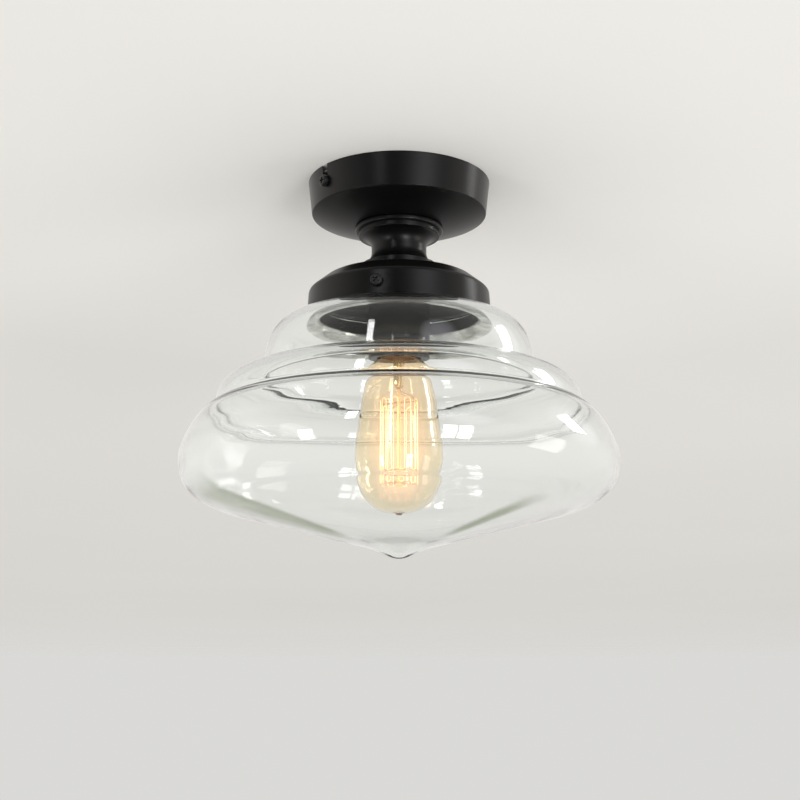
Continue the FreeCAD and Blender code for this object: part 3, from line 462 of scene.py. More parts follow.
def eased(corners, count):
    """Runs through (radius, height, rounding) corners, each corner replaced by count points of the
    arc that touches both of its runs. The first and last corners stay sharp."""
    spots = [np.array(corner[:2], float) for corner in corners]
    rows = [spots[0][None]]
    for before, here, after, corner in zip(spots, spots[1:], spots[2:], corners[1:]):
        back = (before - here) / np.linalg.norm(before - here)
        ahead = (after - here) / np.linalg.norm(after - here)
        half = math.acos(np.clip(back @ ahead, -1, 1)) / 2
        middle = here + (back + ahead) / np.linalg.norm(back + ahead) * corner[2] / math.sin(half)
        first = here + back * corner[2] / math.tan(half) - middle
        last = here + ahead * corner[2] / math.tan(half) - middle
        t = np.linspace(0, 1, count)[:, None]
        chord = first * (1 - t) + last * t
        size = np.linalg.norm(chord, axis=1, keepdims=True)
        rows.append(middle + chord / np.where(size > 0, size, 1) * corner[2])
    rows.append(spots[-1][None])
    return np.concatenate(rows)


def join(*parts):
    """Several lines of rows, in order, as one."""
    return np.concatenate(parts)


def distance_along(rows):
    """How far each row is from the first along the profile: the running total of the spacings."""
    spacing = np.linalg.norm(np.diff(rows, axis=0, prepend=rows[:1]), axis=1)
    return np.cumsum(spacing)[:, None]


print("a quarter arc:", arc((0, 0), 1.0, 0, 90, 3).round(2).tolist())

# %% [markdown]
# The shade is one piece of blown glass, open at its neck and drawn to a point below. Its sizes are the
# CAD model's, measured from the top and bottom of the CAD node.

# %% Sizes of the shade
glass_wall = 0.0036
shade_neck_radius = 0.0568
shade_lip_radius = 0.0596
shade_lip_height = 0.005
shade_lip_round = 0.0016
shade_lip_root_round = 0.0004
shade_neck_length = 0.0186
shade_neck_flare = 0.0054
first_step_radius = 0.0925
first_step_height = 0.0413
first_step_start_share = 0.66
first_step_end_share = 0.74
second_step_radius = 0.1243
second_step_height = 0.0246
second_step_share = 0.66
bowl_radius = 0.1478
bowl_shoulder_height = 0.0342
bowl_shoulder_share = 0.33
crease_round = 0.0025
crease_softness = 0.005
thick_side = 53.0
bowl_corner_radius = 0.120
bowl_corner_height = 0.030
bowl_corner_share = 0.72
bowl_base_slope = 15.0
ogee_radius = 0.036
ogee_share = 0.4
tip_wall = 0.0044
tip_slope = 27.0
tip_round = 0.0154
inner_tip_round = 0.011

shade_low, shade_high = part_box("glass_shade")
shade_top = shade_high.z
tip = shade_low.z
flare_height = shade_top - shade_neck_length
flare_top = flare_height + shade_neck_flare
first_crease = flare_height - first_step_height
second_crease = first_crease - second_step_height
bowl_widest = second_crease - bowl_shoulder_height
bowl_corner = bowl_widest - bowl_corner_height
print("shade is", round(shade_top - tip, 4), "m high")

# %% [markdown]
# A glass-like material needs a closed wall with a real thickness: light bends where it enters and again
# where it leaves. So the profile goes up the outside, over the lip and down the inside, and both ends
# lie on the axis.

# %% Outline of the shade
arc_points = 12
first_step_points = 30
second_step_points = 26
shoulder_points = 24
corner_points = 26
slope_points = 24
lip_points = 8


def step(start, end, start_share, end_share, count):
    """A rounded step: a Bezier curve, level where it starts and upright where it ends."""
    level = (start[0] + (end[0] - start[0]) * start_share, start[1])
    upright = (end[0], end[1] + (start[1] - end[1]) * end_share)
    return bezier(start, level, upright, end, count)


def downhill(start, run_in, slope):
    """The point a level run_in nearer the axis, down a slope in degrees."""
    return np.array([start[0] - run_in, start[1] - run_in * math.tan(math.radians(slope))])


def shade_side(inset, soft):
    """One face from the neck to the base slope, this deep in the glass, its creases this much softer."""
    flare = (shade_neck_radius + shade_neck_flare, flare_top)
    first = (first_step_radius + crease_round + soft, first_crease + crease_round + soft)
    second = (second_step_radius + crease_round + soft, second_crease + crease_round + soft)
    crease = crease_round + inset + soft
    widest = (bowl_radius - inset, bowl_widest)
    lift = inset / math.cos(math.radians(bowl_base_slope))
    corner_end = np.array([bowl_corner_radius, bowl_corner + lift])
    sharp = downhill(corner_end, bowl_corner_radius - widest[0], bowl_base_slope)
    upper = np.array(widest) + (sharp - widest) * bowl_corner_share
    lower = corner_end + (sharp - corner_end) * bowl_corner_share
    rows = join(
        arc(flare, shade_neck_flare + inset, 180, 270, arc_points),
        step((flare[0], flare_height - inset), (first_step_radius - inset, first[1]),
             first_step_start_share, first_step_end_share, first_step_points),
        arc(first, crease, 180, 270, arc_points),
        step((first[0], first[1] - crease), (second_step_radius - inset, second[1]),
             second_step_share, second_step_share, second_step_points),
        arc(second, crease, 180, 270, arc_points),
        step((second[0], second[1] - crease), widest,
             bowl_shoulder_share, bowl_shoulder_share, shoulder_points),
        bezier(widest, upper, lower, corner_end, corner_points),
    )
    return rows, corner_end


def shade_point(start, lowest, rounding):
    """From the base slope's start through the ogee and the rounded tip to the axis. The ogee's handles
    are as long on the inside as on the outside."""
    turn = math.radians(tip_slope)
    edge = np.array([rounding * math.sin(turn), lowest + rounding * (1 - math.cos(turn))])
    ogee = downhill(start, start[0] - ogee_radius, bowl_base_slope)
    handle = (ogee_radius - tip_round * math.sin(turn)) * ogee_share
    return join(
        run(start, ogee, slope_points),
        bezier(ogee, downhill(ogee, handle, bowl_base_slope), downhill(edge, -handle, tip_slope),
               edge, slope_points),
        arc((0, lowest + rounding), rounding, -90 + tip_slope, -90, arc_points),
        [(0, lowest)],
    )


def shade_profile(soft):
    """The wall from the point outside, over the lip, to the point inside, where the creases are this
    much softer. Returns the rows and, for each, how much it may ripple: 1 inside, 0 outside."""
    outer, outer_end = shade_side(0.0, 0.0)
    inner, inner_end = shade_side(glass_wall, soft)
    outside = join(outer, shade_point(outer_end, tip, tip_round))[::-1]
    inside = join(inner, shade_point(inner_end, tip + tip_wall, inner_tip_round))
    lip = eased([
        (shade_neck_radius, flare_top, 0),
        (shade_neck_radius, shade_top - shade_lip_height, shade_lip_root_round),
        (shade_lip_radius, shade_top - shade_lip_height + shade_lip_round, shade_lip_round),
        (shade_lip_radius, shade_top, shade_lip_round),
        (shade_neck_radius - glass_wall, shade_top, shade_lip_round),
        (shade_neck_radius - glass_wall, flare_top, 0),
    ], lip_points)
    rows = join(outside, lip[1:-1], inside)
    waving = np.zeros(len(rows))
    waving[-len(inside):] = 1
    return rows, waving


print("the shade's wall is drawn with", len(shade_profile(0.0)[0]), "rows")

# %% [markdown]
# Blown glass is never quite even. Its outside took the mould's shape, and its inside waves a little,
# which makes things seen through it ripple. On one side its inner creases are softer.

# %% Clear shade
shade_segments = 224
ripple_seed = 11
ripple_depth = 0.00005
ripple_waves = (0, 1, 2, 3, 5, 7, 9)
ripple_shortest = 0.011
ripple_longest = 0.034
ripple_fade_waves = 4
ripple_total = 3
ripple_full_radius = 0.12
ripple_start_drop = 0.01
smallest_length = 1e-9


def ripple(along, turn, seed):
    """A smooth wave over the wall, about 1 high: sines of the distance along the profile, times cosines
    of whole numbers of waves in the turn, added with seeded lengths and phases."""
    draw = np.random.default_rng(seed)
    total = np.zeros(np.broadcast(along, turn).shape)
    for waves in ripple_waves:
        length = draw.uniform(ripple_shortest, ripple_longest)
        phase = draw.uniform(0, 2 * np.pi, 2)
        wave = np.sin(along * 2 * np.pi / length + phase[0]) * np.cos(waves * turn + phase[1])
        total = total + wave / (1 + waves / ripple_fade_waves)
    return total / ripple_total


def clear_shade():
    """The wall, its inside pushed in and out square to the profile by the ripple. The inner creases are
    softer by a share of (1 + cos a) / 2 squared, where a is the turn away from the thick side."""
    rows, waving = shade_profile(0.0)
    softer, _ = shade_profile(crease_softness)
    along = distance_along(rows)
    turn = full_turn(shade_segments)
    share = ((1 + np.cos(turn - math.radians(thick_side))) / 2) ** 2
    rows = rows[:, None] * (1 - share[..., None]) + softer[:, None] * share[..., None]
    near_axis = np.clip(rows[..., 0] / ripple_full_radius, 0, 1) ** 3
    below_neck = np.clip((flare_height - rows[..., 1]) / ripple_start_drop, 0, 1)
    push = ripple(along, turn, ripple_seed) * ripple_depth * waving[:, None] * near_axis * below_neck
    slope = np.gradient(rows, axis=0)
    slope = slope / np.maximum(np.linalg.norm(slope, axis=2, keepdims=True), smallest_length)
    radius = rows[..., 0] + push * slope[..., 1]
    height = rows[..., 1] - push * slope[..., 0]
    return surface("clear_shade", swept(radius, turn, height))


shade_mesh = clear_shade()
print("shade has", len(shade_mesh.polygons), "faces")

# %% [markdown]
# Soda glass is nearly colourless through its wall and faintly green along it. Two dark green bands run
# out along the underside: a painted dark reflection. The silvery ring where the neck flares under the
# holder is a painted reflection too, standing in for light turned back inside the glass.

# %% Finish of the shade
underside_edge = (0.142, 0.128)
band_start = (0.028, 0.05)
wide_band_tint = 0.45
wide_band_streaks = 0.9
wide_band_angle = 163.0
wide_band_edges = ((-0.44, -0.10), (0.19, 0.14))
fine_band_tint = 1.1
fine_band_angle = -73.0
fine_band_edges = ((-0.10, -0.02), (0.13, 0.06))
fine_band_end = (0.115, 0.08)
glass_bump_depth = 0.00012
ring_inner_edge = (0.0532, 0.054)
ring_outer_edge = (0.0676, 0.0664)
ring_low_edge = (flare_height - 0.0075, flare_height - 0.0065)
ring_high_edge = (flare_height + 0.004, flare_height + 0.003)
ring_wobble = 0.004
painted_reflection_share = 0.72


def radial_band(finish, level, radius, angle, low_edge, high_edge):
    """A band that runs out from the axis at an angle in degrees. Its two edges, each (clear, full), are
    sines of the turn away from that angle."""
    turn = math.radians(angle)
    across = finish.reach(level, (-math.sin(turn), math.cos(turn), 0)) / radius
    along = finish.reach(level, (math.cos(turn), math.sin(turn), 0))
    return finish.ramp(across, *low_edge) * finish.ramp(across, *high_edge) * finish.ramp(along, *band_start)


def painted_dark_bands(finish, level, radius, height):
    """How much of the painted dark reflection bands' green tint a point of the glass has."""
    streaks = finish.noise(28.0, 3.0)
    underside = finish.ramp(height, bowl_widest, bowl_corner) * finish.ramp(radius, *underside_edge)
    wide = radial_band(finish, level, radius, wide_band_angle, *wide_band_edges)
    fine = radial_band(finish, level, radius, fine_band_angle, *fine_band_edges)
    fine = fine * finish.ramp(radius, *fine_band_end)
    return underside * (wide * (wide_band_tint + streaks * wide_band_streaks) + fine * fine_band_tint)


def painted_reflection_ring(finish, radius, height):
    """How much painted reflection, a silvery ring, a point of the neck gets. The ring's outer edge wobbles.
    """
    wobble = finish.noise(16.0, 1.0) * ring_wobble
    ring = finish.ramp(radius, *ring_inner_edge) * finish.ramp(radius + wobble, *ring_outer_edge)
    return ring * finish.ramp(height, *ring_low_edge) * finish.ramp(height, *ring_high_edge)


def shade_glass_finish():
    finish = start_finish("clear_glass")
    place = finish.place()
    height = finish.height(place)
    level = finish.times(place, (1, 1, 0))
    radius = finish.length(level)
    # Painted dark reflection: the bands' green tint is painted into the glass's colour.
    painted_band = finish.ramp(painted_dark_bands(finish, level, radius, height), 0.0, 1.0)
    glass = finish.principled({
        "Base Color": finish.blend(painted_band, rgb(0.985, 0.995, 0.985), rgb(0.40, 0.45, 0.34)),
        "Roughness": 0.004 + finish.noise(40.0) * 0.01,
        "IOR": 1.5,
        "Specular IOR Level": 0.28,
        "Transmission Weight": 1.0,
        "Normal": finish.bump(finish.stretched((9.0, 9.0, 70.0)), glass_bump_depth, 0.5),
    })
    facets = finish.ramp(finish.stretched((70.0, 70.0, 20.0)), 0.3, 0.7)
    # Painted reflection: a mottled metallic shader, mixed into the glass on the neck's ring, stands in for
    # light turned back inside the glass.
    painted_silver_reflection = finish.principled({
        "Base Color": finish.blend(facets, rgb(0.30, 0.31, 0.28), rgb(0.80, 0.80, 0.76)),
        "Metallic": 1.0,
        "Roughness": 0.12,
    })
    ring = painted_reflection_ring(finish, radius, height) * painted_reflection_share
    mixed = finish.node("MixShader", None, {0: ring, 1: glass, 2: painted_silver_reflection})
    depth = finish.node("VolumeAbsorption", None, {"Color": rgb(0.62, 0.80, 0.70), "Density": 7.0})
    return finish.surface(mixed, Volume=depth)


shade = show("clear_shade", shade_mesh, shade_glass_finish())
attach(shade, "shade")
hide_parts("glass_shade")
print(shade.name, "is dressed")

# %% [markdown]
# The bulb is thin amber glass on a brass screw base. Its outline is the CAD model's: a short straight
# neck, a throat that opens into a long shoulder, and a dome with the pip where it was sealed.

# %% Sizes of the bulb
bulb_wall = 0.0009
bulb_neck_radius = 0.0115
bulb_neck_length = 0.009
bulb_throat_handle_radius = 0.0175
bulb_throat_handle_drop = 0.0026
bulb_shoulder_radius = 0.0217
bulb_shoulder_slope_share = 0.2
bulb_radius = 0.0298
bulb_side_height = 0.062
bulb_side_start_handle = 0.014
bulb_side_end_handle = 0.022
bulb_dome_height = 0.0317
bulb_dome_side_share = 0.62
bulb_dome_end_share = 0.6
bulb_pip_radius = 0.0024
bulb_pip_height = 0.0015
strand_radius = 0.00011

bulb_low, bulb_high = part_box("bulb_envelope")
cage_low, cage_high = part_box("bulb_filament")
cage_top = cage_high.z - strand_radius
cage_bottom = cage_low.z + strand_radius
bulb_throat = bulb_high.z - bulb_neck_length
bulb_bottom = bulb_low.z + bulb_pip_height
bulb_widest = bulb_bottom + bulb_dome_height
bulb_shoulder = bulb_widest + bulb_side_height
print("bulb is", round(bulb_high.z - bulb_low.z, 4), "m long")

# %% [markdown]
# The bulb too is a closed wall whose inside waves a little. Its profile runs from the inside's lowest
# point up to the neck's rim and down the outside to the pip.

# %% Amber bulb
bulb_segments = 128
bulb_ripple_depth = 0.00003
bulb_ripple_full_radius = 0.01
neck_points = 6
throat_points = 20
side_points = 30
dome_points = 26
bottom_points = 4
pip_points = 8


def bulb_side(inset):
    """One face of the bulb from its neck down to the pip."""
    neck = bulb_neck_radius - inset
    widest = (bulb_radius - inset, bulb_widest)
    shoulder = np.array([bulb_shoulder_radius - inset, bulb_shoulder])
    pole = (bulb_throat_handle_radius - inset, bulb_throat - bulb_throat_handle_drop - inset)
    handle = np.array([bulb_shoulder_slope_share * bulb_side_start_handle, -bulb_side_start_handle])
    side_end = (widest[0], widest[1] + bulb_side_end_handle)
    end = (bulb_pip_radius, bulb_bottom + inset)
    side_pole = (widest[0], widest[1] + (end[1] - widest[1]) * bulb_dome_side_share)
    end_pole = (widest[0] * bulb_dome_end_share, end[1])
    rows = join(
        run((neck, bulb_high.z), (neck, bulb_throat), neck_points),
        bezier((neck, bulb_throat), pole, shoulder - handle / 2, shoulder, throat_points),
        bezier(shoulder, shoulder + handle, side_end, widest, side_points),
        bezier(widest, side_pole, end_pole, end, dome_points),
    )
    return rows, end


def amber_bulb():
    """The wall, its inside pushed in and out along the radius by the ripple."""
    outer, outer_end = bulb_side(0.0)
    inner, inner_end = bulb_side(bulb_wall)
    inside = join(inner, run(inner_end, (0, inner_end[1]), bottom_points), [(0, inner_end[1])])
    pip_middle = (bulb_pip_radius - bulb_pip_height, outer_end[1])
    pip = arc(pip_middle, bulb_pip_height, 0, -90, pip_points)
    rows = join(inside[::-1], outer, pip, [(0, outer_end[1] - bulb_pip_height)])
    turn = full_turn(bulb_segments)
    waving = np.zeros((len(rows), 1))
    waving[: len(inside)] = 1
    below_neck = np.clip((bulb_throat - rows[:, 1:2]) / ripple_start_drop, 0, 1)
    near_axis = np.clip(rows[:, 0:1] / bulb_ripple_full_radius, 0, 1) ** 2
    wave = ripple(distance_along(rows), turn, ripple_seed + 1)
    push = wave * bulb_ripple_depth * waving * below_neck * near_axis
    return surface("amber_bulb", swept(rows[:, 0:1] + push, turn, rows[:, 1:2]))


bulb_mesh = amber_bulb()
print("bulb has", len(bulb_mesh.polygons), "faces")

# %% [markdown]
# The glass has an amber stain, a little stronger at the neck. It also has a painted glow, though glass is
# no lamp: an orange haze where it is seen face on beside the filament, and a faint glow elsewhere.

# %% Finish of the bulb
painted_haze_rise = 0.012
painted_haze_full_drop = 0.006


def amber_glass_finish():
    finish = start_finish("amber_glass")
    height = finish.height(finish.place())
    low = finish.ramp(height, bulb_throat, bulb_bottom)
    edge = finish.node("LayerWeight", None, {"Blend": 0.5}, output="Facing")
    painted_glow_mask = finish.ramp(height, cage_top + painted_haze_rise, cage_top - painted_haze_full_drop)
    painted_glow_mask = painted_glow_mask * finish.ramp(edge, 0.16, 0.04)
    return finish.principled_surface({
        "Base Color": finish.blend(low, rgb(0.99, 0.895, 0.73), rgb(0.985, 0.93, 0.78)),
        "Roughness": 0.004 + finish.noise(60.0) * 0.01,
        "IOR": 1.5,
        "Transmission Weight": 1.0,
        # Painted glow: the glass emits an orange haze beside the filament and a faint glow elsewhere.
        "Emission Color": finish.blend(painted_glow_mask, rgb(0.10, 0.05, 0.02), rgb(1.0, 0.36, 0.16)),
        "Emission Strength": 0.13,
    })


bulb = show("amber_bulb", bulb_mesh, amber_glass_finish())
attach(bulb, "bulb")
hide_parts("bulb_envelope")
print(bulb.name, "is dressed")

# %% [markdown]
# A wire is a circle carried along a path. Its axes come from a side direction that the path never
# follows, so the wire doesn't twist.

# %% Tubes along paths
smoothing_rounds = 5


def tube(path, radius, side, sides):
    """The tube's points are path + radius (cos a n + sin a b), where n is the side direction made
    square to the path and b is square to both. The radius is 0 at both ends, which closes them."""
    tangent = np.gradient(path, axis=0)
    tangent = tangent / np.linalg.norm(tangent, axis=1, keepdims=True)
    side = np.broadcast_to(np.asarray(side, float), path.shape)
    normal = side - tangent * np.sum(side * tangent, axis=1, keepdims=True)
    normal = normal / np.linalg.norm(normal, axis=1, keepdims=True)
    third = np.cross(tangent, normal)
    a = full_turn(sides)[..., None]
    size = np.full(len(path) + 2, radius)
    size[[0, -1]] = 0
    repeat = np.r_[0, np.arange(len(path)), len(path) - 1]
    ring = np.cos(a) * normal[repeat][:, None] + np.sin(a) * third[repeat][:, None]
    return path[repeat][:, None] + size[:, None, None] * ring


def tubes(name, grids):
    """One mesh of several tubes."""
    work = bmesh.new()
    for grid in grids:
        part = surface(name, grid)
        work.from_mesh(part)
        bpy.data.meshes.remove(part)
    mesh = bpy.data.meshes.new(name)
    work.to_mesh(mesh)
    work.free()
    mesh.shade_smooth()
    return mesh


def smooth_path(points, count):
    """A line of count points through rounded corners: the corners are joined by straight runs, which
    are then averaged with their neighbours a few times."""
    points = np.asarray(points, float)
    length = np.r_[0, np.cumsum(np.linalg.norm(np.diff(points, axis=0), axis=1))]
    even = np.linspace(0, length[-1], count)
    line = np.stack([np.interp(even, length, points[:, k]) for k in range(3)], axis=-1)
    for _ in range(smoothing_rounds):
        line[1:-1] = (line[:-2] + 2 * line[1:-1] + line[2:]) / 4
    return line


print("tubes follow paths")

# %% [markdown]
# The filament is one fine wire that goes up and down round a circle, held at the top and bottom by
# hooks, and open on one side where its two ends meet the lead wires. It is lit and glows nearly white,
# as in the photograph, but less near the hooks, which draw a little heat away.

# %% Filament
strands = 18
cage_radius = 0.0127
strand_points = 26
strand_sides = 6
hairpin_height = 0.0016
hairpin_points = 9
cool_end_length = 0.006


def cage_angle(number):
    """Where a strand stands round the circle: half a step either side of the open gap."""
    return math.pi * (number + 0.5) / (strands / 2)


def filament_path():
    """The wire's line. Strands are upright. From each to the next, over a hook, the angle moves by a
    cosine while the height rounds over like a sine."""
    rows = []
    straight = np.linspace(0, 1, strand_points)
    bend = np.linspace(0, math.pi, hairpin_points)[1:-1]
    for number in range(strands):
        upward = number % 2 == 0
        level = straight if upward else 1 - straight
        height = cage_bottom + hairpin_height + level * (cage_top - cage_bottom - 2 * hairpin_height)
        rows.append(np.stack([np.full(strand_points, cage_angle(number)), height], axis=-1))
        if number == strands - 1:
            continue
        share = (1 - np.cos(bend)) / 2
        angle = cage_angle(number) * (1 - share) + cage_angle(number + 1) * share
        base = cage_top - hairpin_height if upward else cage_bottom + hairpin_height
        rise = hairpin_height * np.sin(bend) * (1 if upward else -1)
        rows.append(np.stack([angle, base + rise], axis=-1))
    angle, height = np.concatenate(rows).T
    outward = np.stack([np.cos(angle), np.sin(angle), np.zeros_like(angle)], axis=-1)
    return outward * cage_radius + np.array([0, 0, 1]) * height[:, None], outward


def glow_finish():
    finish = start_finish("filament")
    height = finish.height(finish.place())
    warm = finish.ramp(height, cage_bottom, cage_bottom + cool_end_length)
    warm = warm * finish.ramp(height, cage_top, cage_top - cool_end_length)
    return finish.principled_surface({
        "Base Color": rgb(0.35, 0.20, 0.10),
        "Roughness": 0.6,
        "Emission Color": finish.blend(warm, rgb(1.0, 0.40, 0.14), rgb(1.0, 0.56, 0.32)),
        "Emission Strength": 5.0,
    })


path, outward = filament_path()
filament_mesh = tubes("filament", [tube(path, strand_radius, outward, strand_sides)])
filament = show("filament", filament_mesh, glow_finish())
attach(filament, "bulb")
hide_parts("bulb_filament")
print("filament wire is", round(float(np.linalg.norm(np.diff(path, axis=0), axis=1).sum()), 3), "m long")

# %% [markdown]
# Inside the neck a glass stem carries everything: its flare is melted to the neck, its flattened pinch
# grips the two lead wires, and a thin rod runs on from it down the middle to a small button. It has a
# painted warm glow, stronger towards the filament, which stands in for the filament's light.

# %% Glass stem
stem_segments = 40
stem_points = 10
stem_flare_radius = 0.0103
stem_flare_round = 0.0004
stem_neck_radius = 0.0042
stem_neck_drop = 0.006
stem_neck_round = 0.004
stem_pinch_half = 0.0017
stem_press_height = 0.026
stem_press_rise = 0.001
stem_press_drop = 0.0015
stem_press_round = 0.0015
stem_rod_radius = 0.0015
stem_rod_round = 0.001
stem_button_radius = 0.0022
stem_button_height = 0.0022
stem_button_root = 0.0035
stem_button_round = 0.0006
flatten_start_drop = 0.008
flatten_length = 0.014
flatten_end_drop = 0.0005
painted_glow_start_rise = 0.012
painted_glow_full_drop = 0.004

press = bulb_throat - stem_press_height
stem_low, stem_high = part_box("bulb_stem")
rod_end = stem_low.z


def stem():
    """A turned profile that flattens along Y towards the pinch: the flattening rises as a smooth step
    from the flare to the press and stops there."""
    rows = eased([
        (0, stem_high.z, 0),
        (stem_flare_radius, stem_high.z, stem_flare_round),
        (stem_neck_radius, stem_high.z - stem_neck_drop, stem_neck_round),
        (stem_neck_radius, press + stem_press_rise, stem_press_round),
        (stem_rod_radius, press - stem_press_drop, stem_rod_round),
        (stem_rod_radius, rod_end + stem_button_root, stem_rod_round),
        (stem_button_radius, rod_end + stem_button_height, stem_button_round),
        (stem_button_radius, rod_end, stem_rod_round),
        (0, rod_end, 0),
    ], stem_points)
    height = rows[:, 1:2]
    ease = np.clip((stem_high.z - flatten_start_drop - height) / flatten_length, 0, 1)
    ease = ease * ease * (3 - 2 * ease) * (height > press - flatten_end_drop)
    points = swept(rows[:, 0:1], full_turn(stem_segments), height)
    points[..., 1] *= 1 - ease * (1 - stem_pinch_half / stem_neck_radius)
    return surface("bulb_stem", points)


def stem_finish():
    finish = start_finish("stem_glass")
    height = finish.height(finish.place())
    painted_stem_glow = finish.ramp(height, press + painted_glow_start_rise, cage_top - painted_glow_full_drop)
    return finish.principled_surface({
        "Base Color": rgb(0.98, 0.90, 0.66),
        "Roughness": 0.05 + finish.noise(900.0) * 0.05,
        "IOR": 1.52,
        "Transmission Weight": 0.85,
        # Painted glow: the stem emits warm light, stronger towards the filament.
        "Emission Color": finish.blend(painted_stem_glow, rgb(0.10, 0.05, 0.015), rgb(1.0, 0.60, 0.34)),
        "Emission Strength": 0.20,
    })


stem_piece = show("bulb_stem_glass", stem(), stem_finish())
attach(stem_piece, "bulb")
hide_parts("bulb_stem")
print(stem_piece.name, len(stem_piece.data.polygons), "faces")

# %% [markdown]
# Two stars of fine hooks leave the rod and catch the filament's turns, each ending in a small curl. Two
# stiffer lead wires come down through the pinch, then go outwards and down to the filament's ends.

# %% Hooks and lead wires
hook_radius = 0.0002
hook_root_rise = 0.001
hook_line_points = 8
hook_curl_points = 12
hook_curl_start = -90
hook_curl_end = 160
hook_sides = 6
lead_radius = 0.0004
lead_spacing = 0.0036
lead_top_drop = 0.002
lead_spread_drop = 0.004
lead_spread_share = 0.9
lead_end_rise = 0.005
lead_side = (0.3, 1.0, 0.0)
lead_points = 60
lead_sides = 8


def hook(angle, level, way):
    """A straight wire out from the rod at this angle and level. Its end curls up or down, the way."""
    out = np.array([math.cos(angle), math.sin(angle), 0.0])
    beside = np.array([-math.sin(angle), math.cos(angle), 0.0])
    reach = cage_radius * math.cos(math.pi / strands)
    root = out * stem_rod_radius + np.array([0, 0, level + way * hook_root_rise])
    bend = np.radians(np.linspace(hook_curl_start, hook_curl_end, hook_curl_points))[:, None]
    middle = out * (reach - hook_radius) + np.array([0, 0, level])
    circle = np.cos(bend) * out + np.sin(bend) * np.array([0, 0, -way])
    curl = middle + (strand_radius + hook_radius) * circle
    line = run(root, curl[0], hook_line_points)
    return tube(join(line, curl), hook_radius, beside, hook_sides)


def hooks():
    """A hook at each turn of the filament: one fewer at the top, where its two ends are."""
    grids = []
    for level, first, count, way in ((cage_top, 1, strands // 2 - 1, -1), (cage_bottom, 0, strands // 2, 1)):
        for number in range(count):
            angle = (cage_angle(2 * number + first) + cage_angle(2 * number + first + 1)) / 2
            grids.append(hook(angle, level, way))
    return tubes("filament_hooks", grids)


def lead_wires():
    grids = []
    for number, side in ((0, 1), (strands - 1, -1)):
        angle = cage_angle(number)
        end = (cage_radius * math.cos(angle), cage_radius * math.sin(angle), cage_top - hairpin_height)
        y = side * lead_spacing / 2
        knots = [
            (0, y, stem_high.z - lead_top_drop),
            (0, y, press - lead_spread_drop),
            (end[0] * lead_spread_share, end[1], end[2] + lead_end_rise),
            end,
        ]
        grids.append(tube(smooth_path(knots, lead_points), lead_radius, lead_side, lead_sides))
    return tubes("filament_lead_wires", grids)


def nickel_finish():
    """Drawn nickel wire with faint lengthwise draw marks."""
    finish = start_finish("nickel_wire")
    marks = finish.stretched((9000.0, 9000.0, 300.0))
    return finish.principled_surface({
        "Base Color": finish.blend(marks, rgb(0.56, 0.50, 0.42), rgb(0.74, 0.69, 0.60)),
        "Metallic": 1.0,
        "Roughness": 0.22 + marks * 0.16,
    })


nickel = nickel_finish()
for mesh, node in ((hooks(), "bulb_support_wires"), (lead_wires(), "bulb_lead_wires")):
    piece = show(mesh.name, mesh, nickel)
    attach(piece, "bulb")
    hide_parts(node)
    print(piece.name, len(piece.data.polygons), "faces")

# %% [markdown]
# Canopy, neck and holder are steel under satin black powder coat, a warm grey-black. Powder melts into
# a skin with a fine orange-peel, so it gets two sizes of bump and a roughness that drifts a little.
# Screws are darkened, not painted, and metal shows where the driver has rubbed them.

# %% Painted and darkened metal
peel_depth = 0.00006


def powder_coat():
    finish = start_finish("satin_black")
    cloud = finish.noise(30.0, 3.0)
    peel = finish.noise(1400.0, 1.0)
    fine = finish.noise(5200.0, 1.0)
    dust = finish.ramp(finish.noise(2600.0, 1.0), 0.70, 0.78)
    coat = finish.blend(cloud, rgb(0.0022, 0.0019, 0.0019), rgb(0.0038, 0.0033, 0.0033))
    return finish.principled_surface({
        "Base Color": finish.blend(dust * 0.12, coat, rgb(0.05, 0.048, 0.045)),
        "Roughness": 0.31 + cloud * 0.06 + peel * 0.05,
        "Specular IOR Level": 0.32,
        "Normal": finish.bump(peel * 0.7 + fine * 0.3, peel_depth, 0.35),
    })


def black_oxide():
    finish = start_finish("black_oxide")
    rub = finish.ramp(finish.noise(1500.0, 3.0), 0.55, 0.75)
    return finish.principled_surface({
        "Base Color": finish.blend(rub, rgb(0.010, 0.010, 0.011), rgb(0.045, 0.042, 0.040)),
        "Metallic": 0.35 + rub * 0.4,
        "Roughness": 0.30 + finish.noise(3000.0) * 0.15,
    })


print("powder coat and black oxide are ready")

# %% [markdown]
# Plated and plain metals have a cloudy tone between two colours and a fine rubbed grain. Plastic, wire
# sheath, glaze and black glass have faint flow marks and a grain of their own.

# %% Plated metal and mouldings
plated_depth = 0.00003
moulded_depth = 0.00003
glossy_depth = 0.00001
black_glass_depth = 0.00002


def plated(name, dull, bright, grain_scale, roughness):
    finish = start_finish(name)
    cloud = finish.noise(160.0, 4.0)
    grain = finish.noise(grain_scale)
    return finish.principled_surface({
        "Base Color": finish.blend(cloud, dull, bright),
        "Metallic": 1.0,
        "Roughness": roughness + grain * 0.12 + cloud * 0.05,
        "Normal": finish.bump(grain, plated_depth, 0.25),
    })


def moulded(name, colour, pale, grain_scale, roughness, depth=moulded_depth):
    finish = start_finish(name)
    flow = finish.noise(90.0, 3.0)
    grain = finish.noise(grain_scale)
    return finish.principled_surface({
        "Base Color": finish.blend(flow, colour, pale),
        "Roughness": roughness + flow * 0.04 + grain * 0.06,
        "Normal": finish.bump(grain, depth, 0.2),
    })


print("plated and moulded finishes are ready")

# %% [markdown]
# Each CAD node gets the finish of the slot that the record names for it.

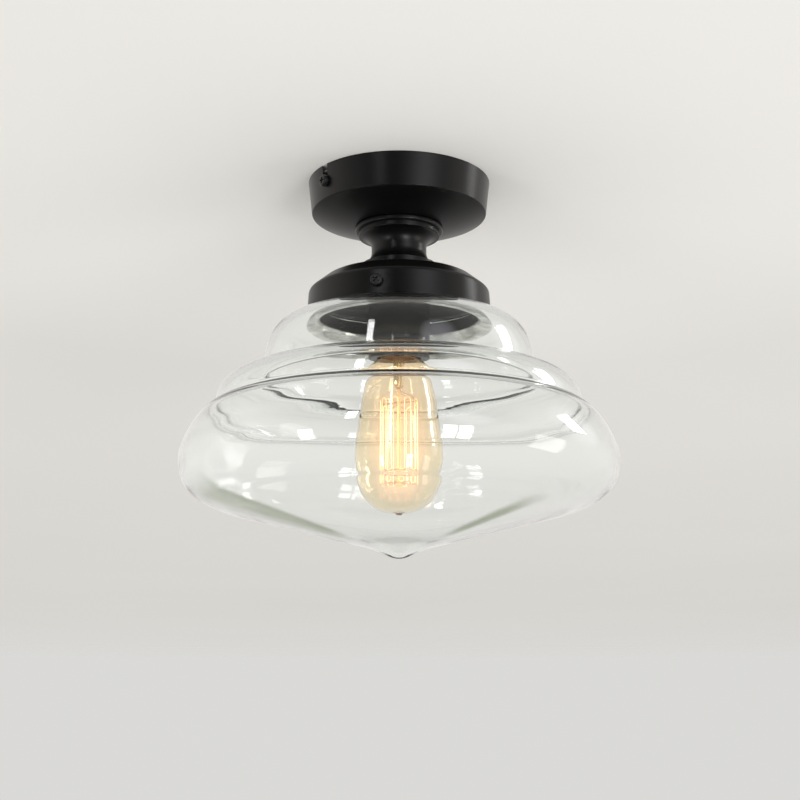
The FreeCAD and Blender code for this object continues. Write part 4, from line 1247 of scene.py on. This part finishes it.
# %% Dress the CAD nodes
finishes = {
    "black_metal": powder_coat(),
    "black_screw": black_oxide(),
    "zinc_steel": plated("zinc_plate", rgb(0.42, 0.43, 0.44), rgb(0.66, 0.67, 0.66), 2400.0, 0.26),
    "green_screw": plated("green_dye", rgb(0.02, 0.16, 0.05), rgb(0.05, 0.27, 0.09), 2600.0, 0.28),
    "copper": plated("bare_copper", rgb(0.52, 0.22, 0.11), rgb(0.80, 0.42, 0.25), 2200.0, 0.22),
    "brass": plated("lamp_brass", rgb(0.60, 0.39, 0.13), rgb(0.86, 0.62, 0.28), 2400.0, 0.20),
    "nickel": plated("nickel_plate", rgb(0.52, 0.49, 0.44), rgb(0.74, 0.71, 0.65), 2400.0, 0.22),
    "solder": plated("tin_solder", rgb(0.42, 0.42, 0.42), rgb(0.66, 0.66, 0.65), 900.0, 0.24),
    "white_plastic": moulded("white_nylon", rgb(0.74, 0.73, 0.69), rgb(0.82, 0.81, 0.78), 1800.0, 0.36),
    "black_phenolic": moulded(
        "gloss_phenolic", rgb(0.004, 0.004, 0.004), rgb(0.008, 0.007, 0.007), 600.0, 0.05, glossy_depth),
    "porcelain": moulded("glazed_porcelain", rgb(0.76, 0.73, 0.66), rgb(0.84, 0.82, 0.77), 700.0, 0.12),
    "black_sheath": moulded("black_sheath", rgb(0.012, 0.012, 0.013), rgb(0.030, 0.030, 0.031), 2600.0, 0.42),
    "white_sheath": moulded("white_sheath", rgb(0.68, 0.67, 0.63), rgb(0.80, 0.79, 0.76), 2600.0, 0.40),
    "orange_plastic": moulded("orange_nylon", rgb(0.70, 0.16, 0.015), rgb(0.85, 0.26, 0.03), 2000.0, 0.34),
    "black_glass": moulded(
        "black_glass", rgb(0.010, 0.010, 0.013), rgb(0.020, 0.018, 0.022), 500.0, 0.05, black_glass_depth),
}

slot_of = {part["node"]: part["material_slot"] for part in frame["record"]["subparts"]}
dressed = 0
for node, thing in frame["nodes"].items():
    if slot_of[node] in finishes:
        thing.data.materials.clear()
        thing.data.materials.append(finishes[slot_of[node]])
        dressed += 1
print(dressed, "CAD nodes have a finish")
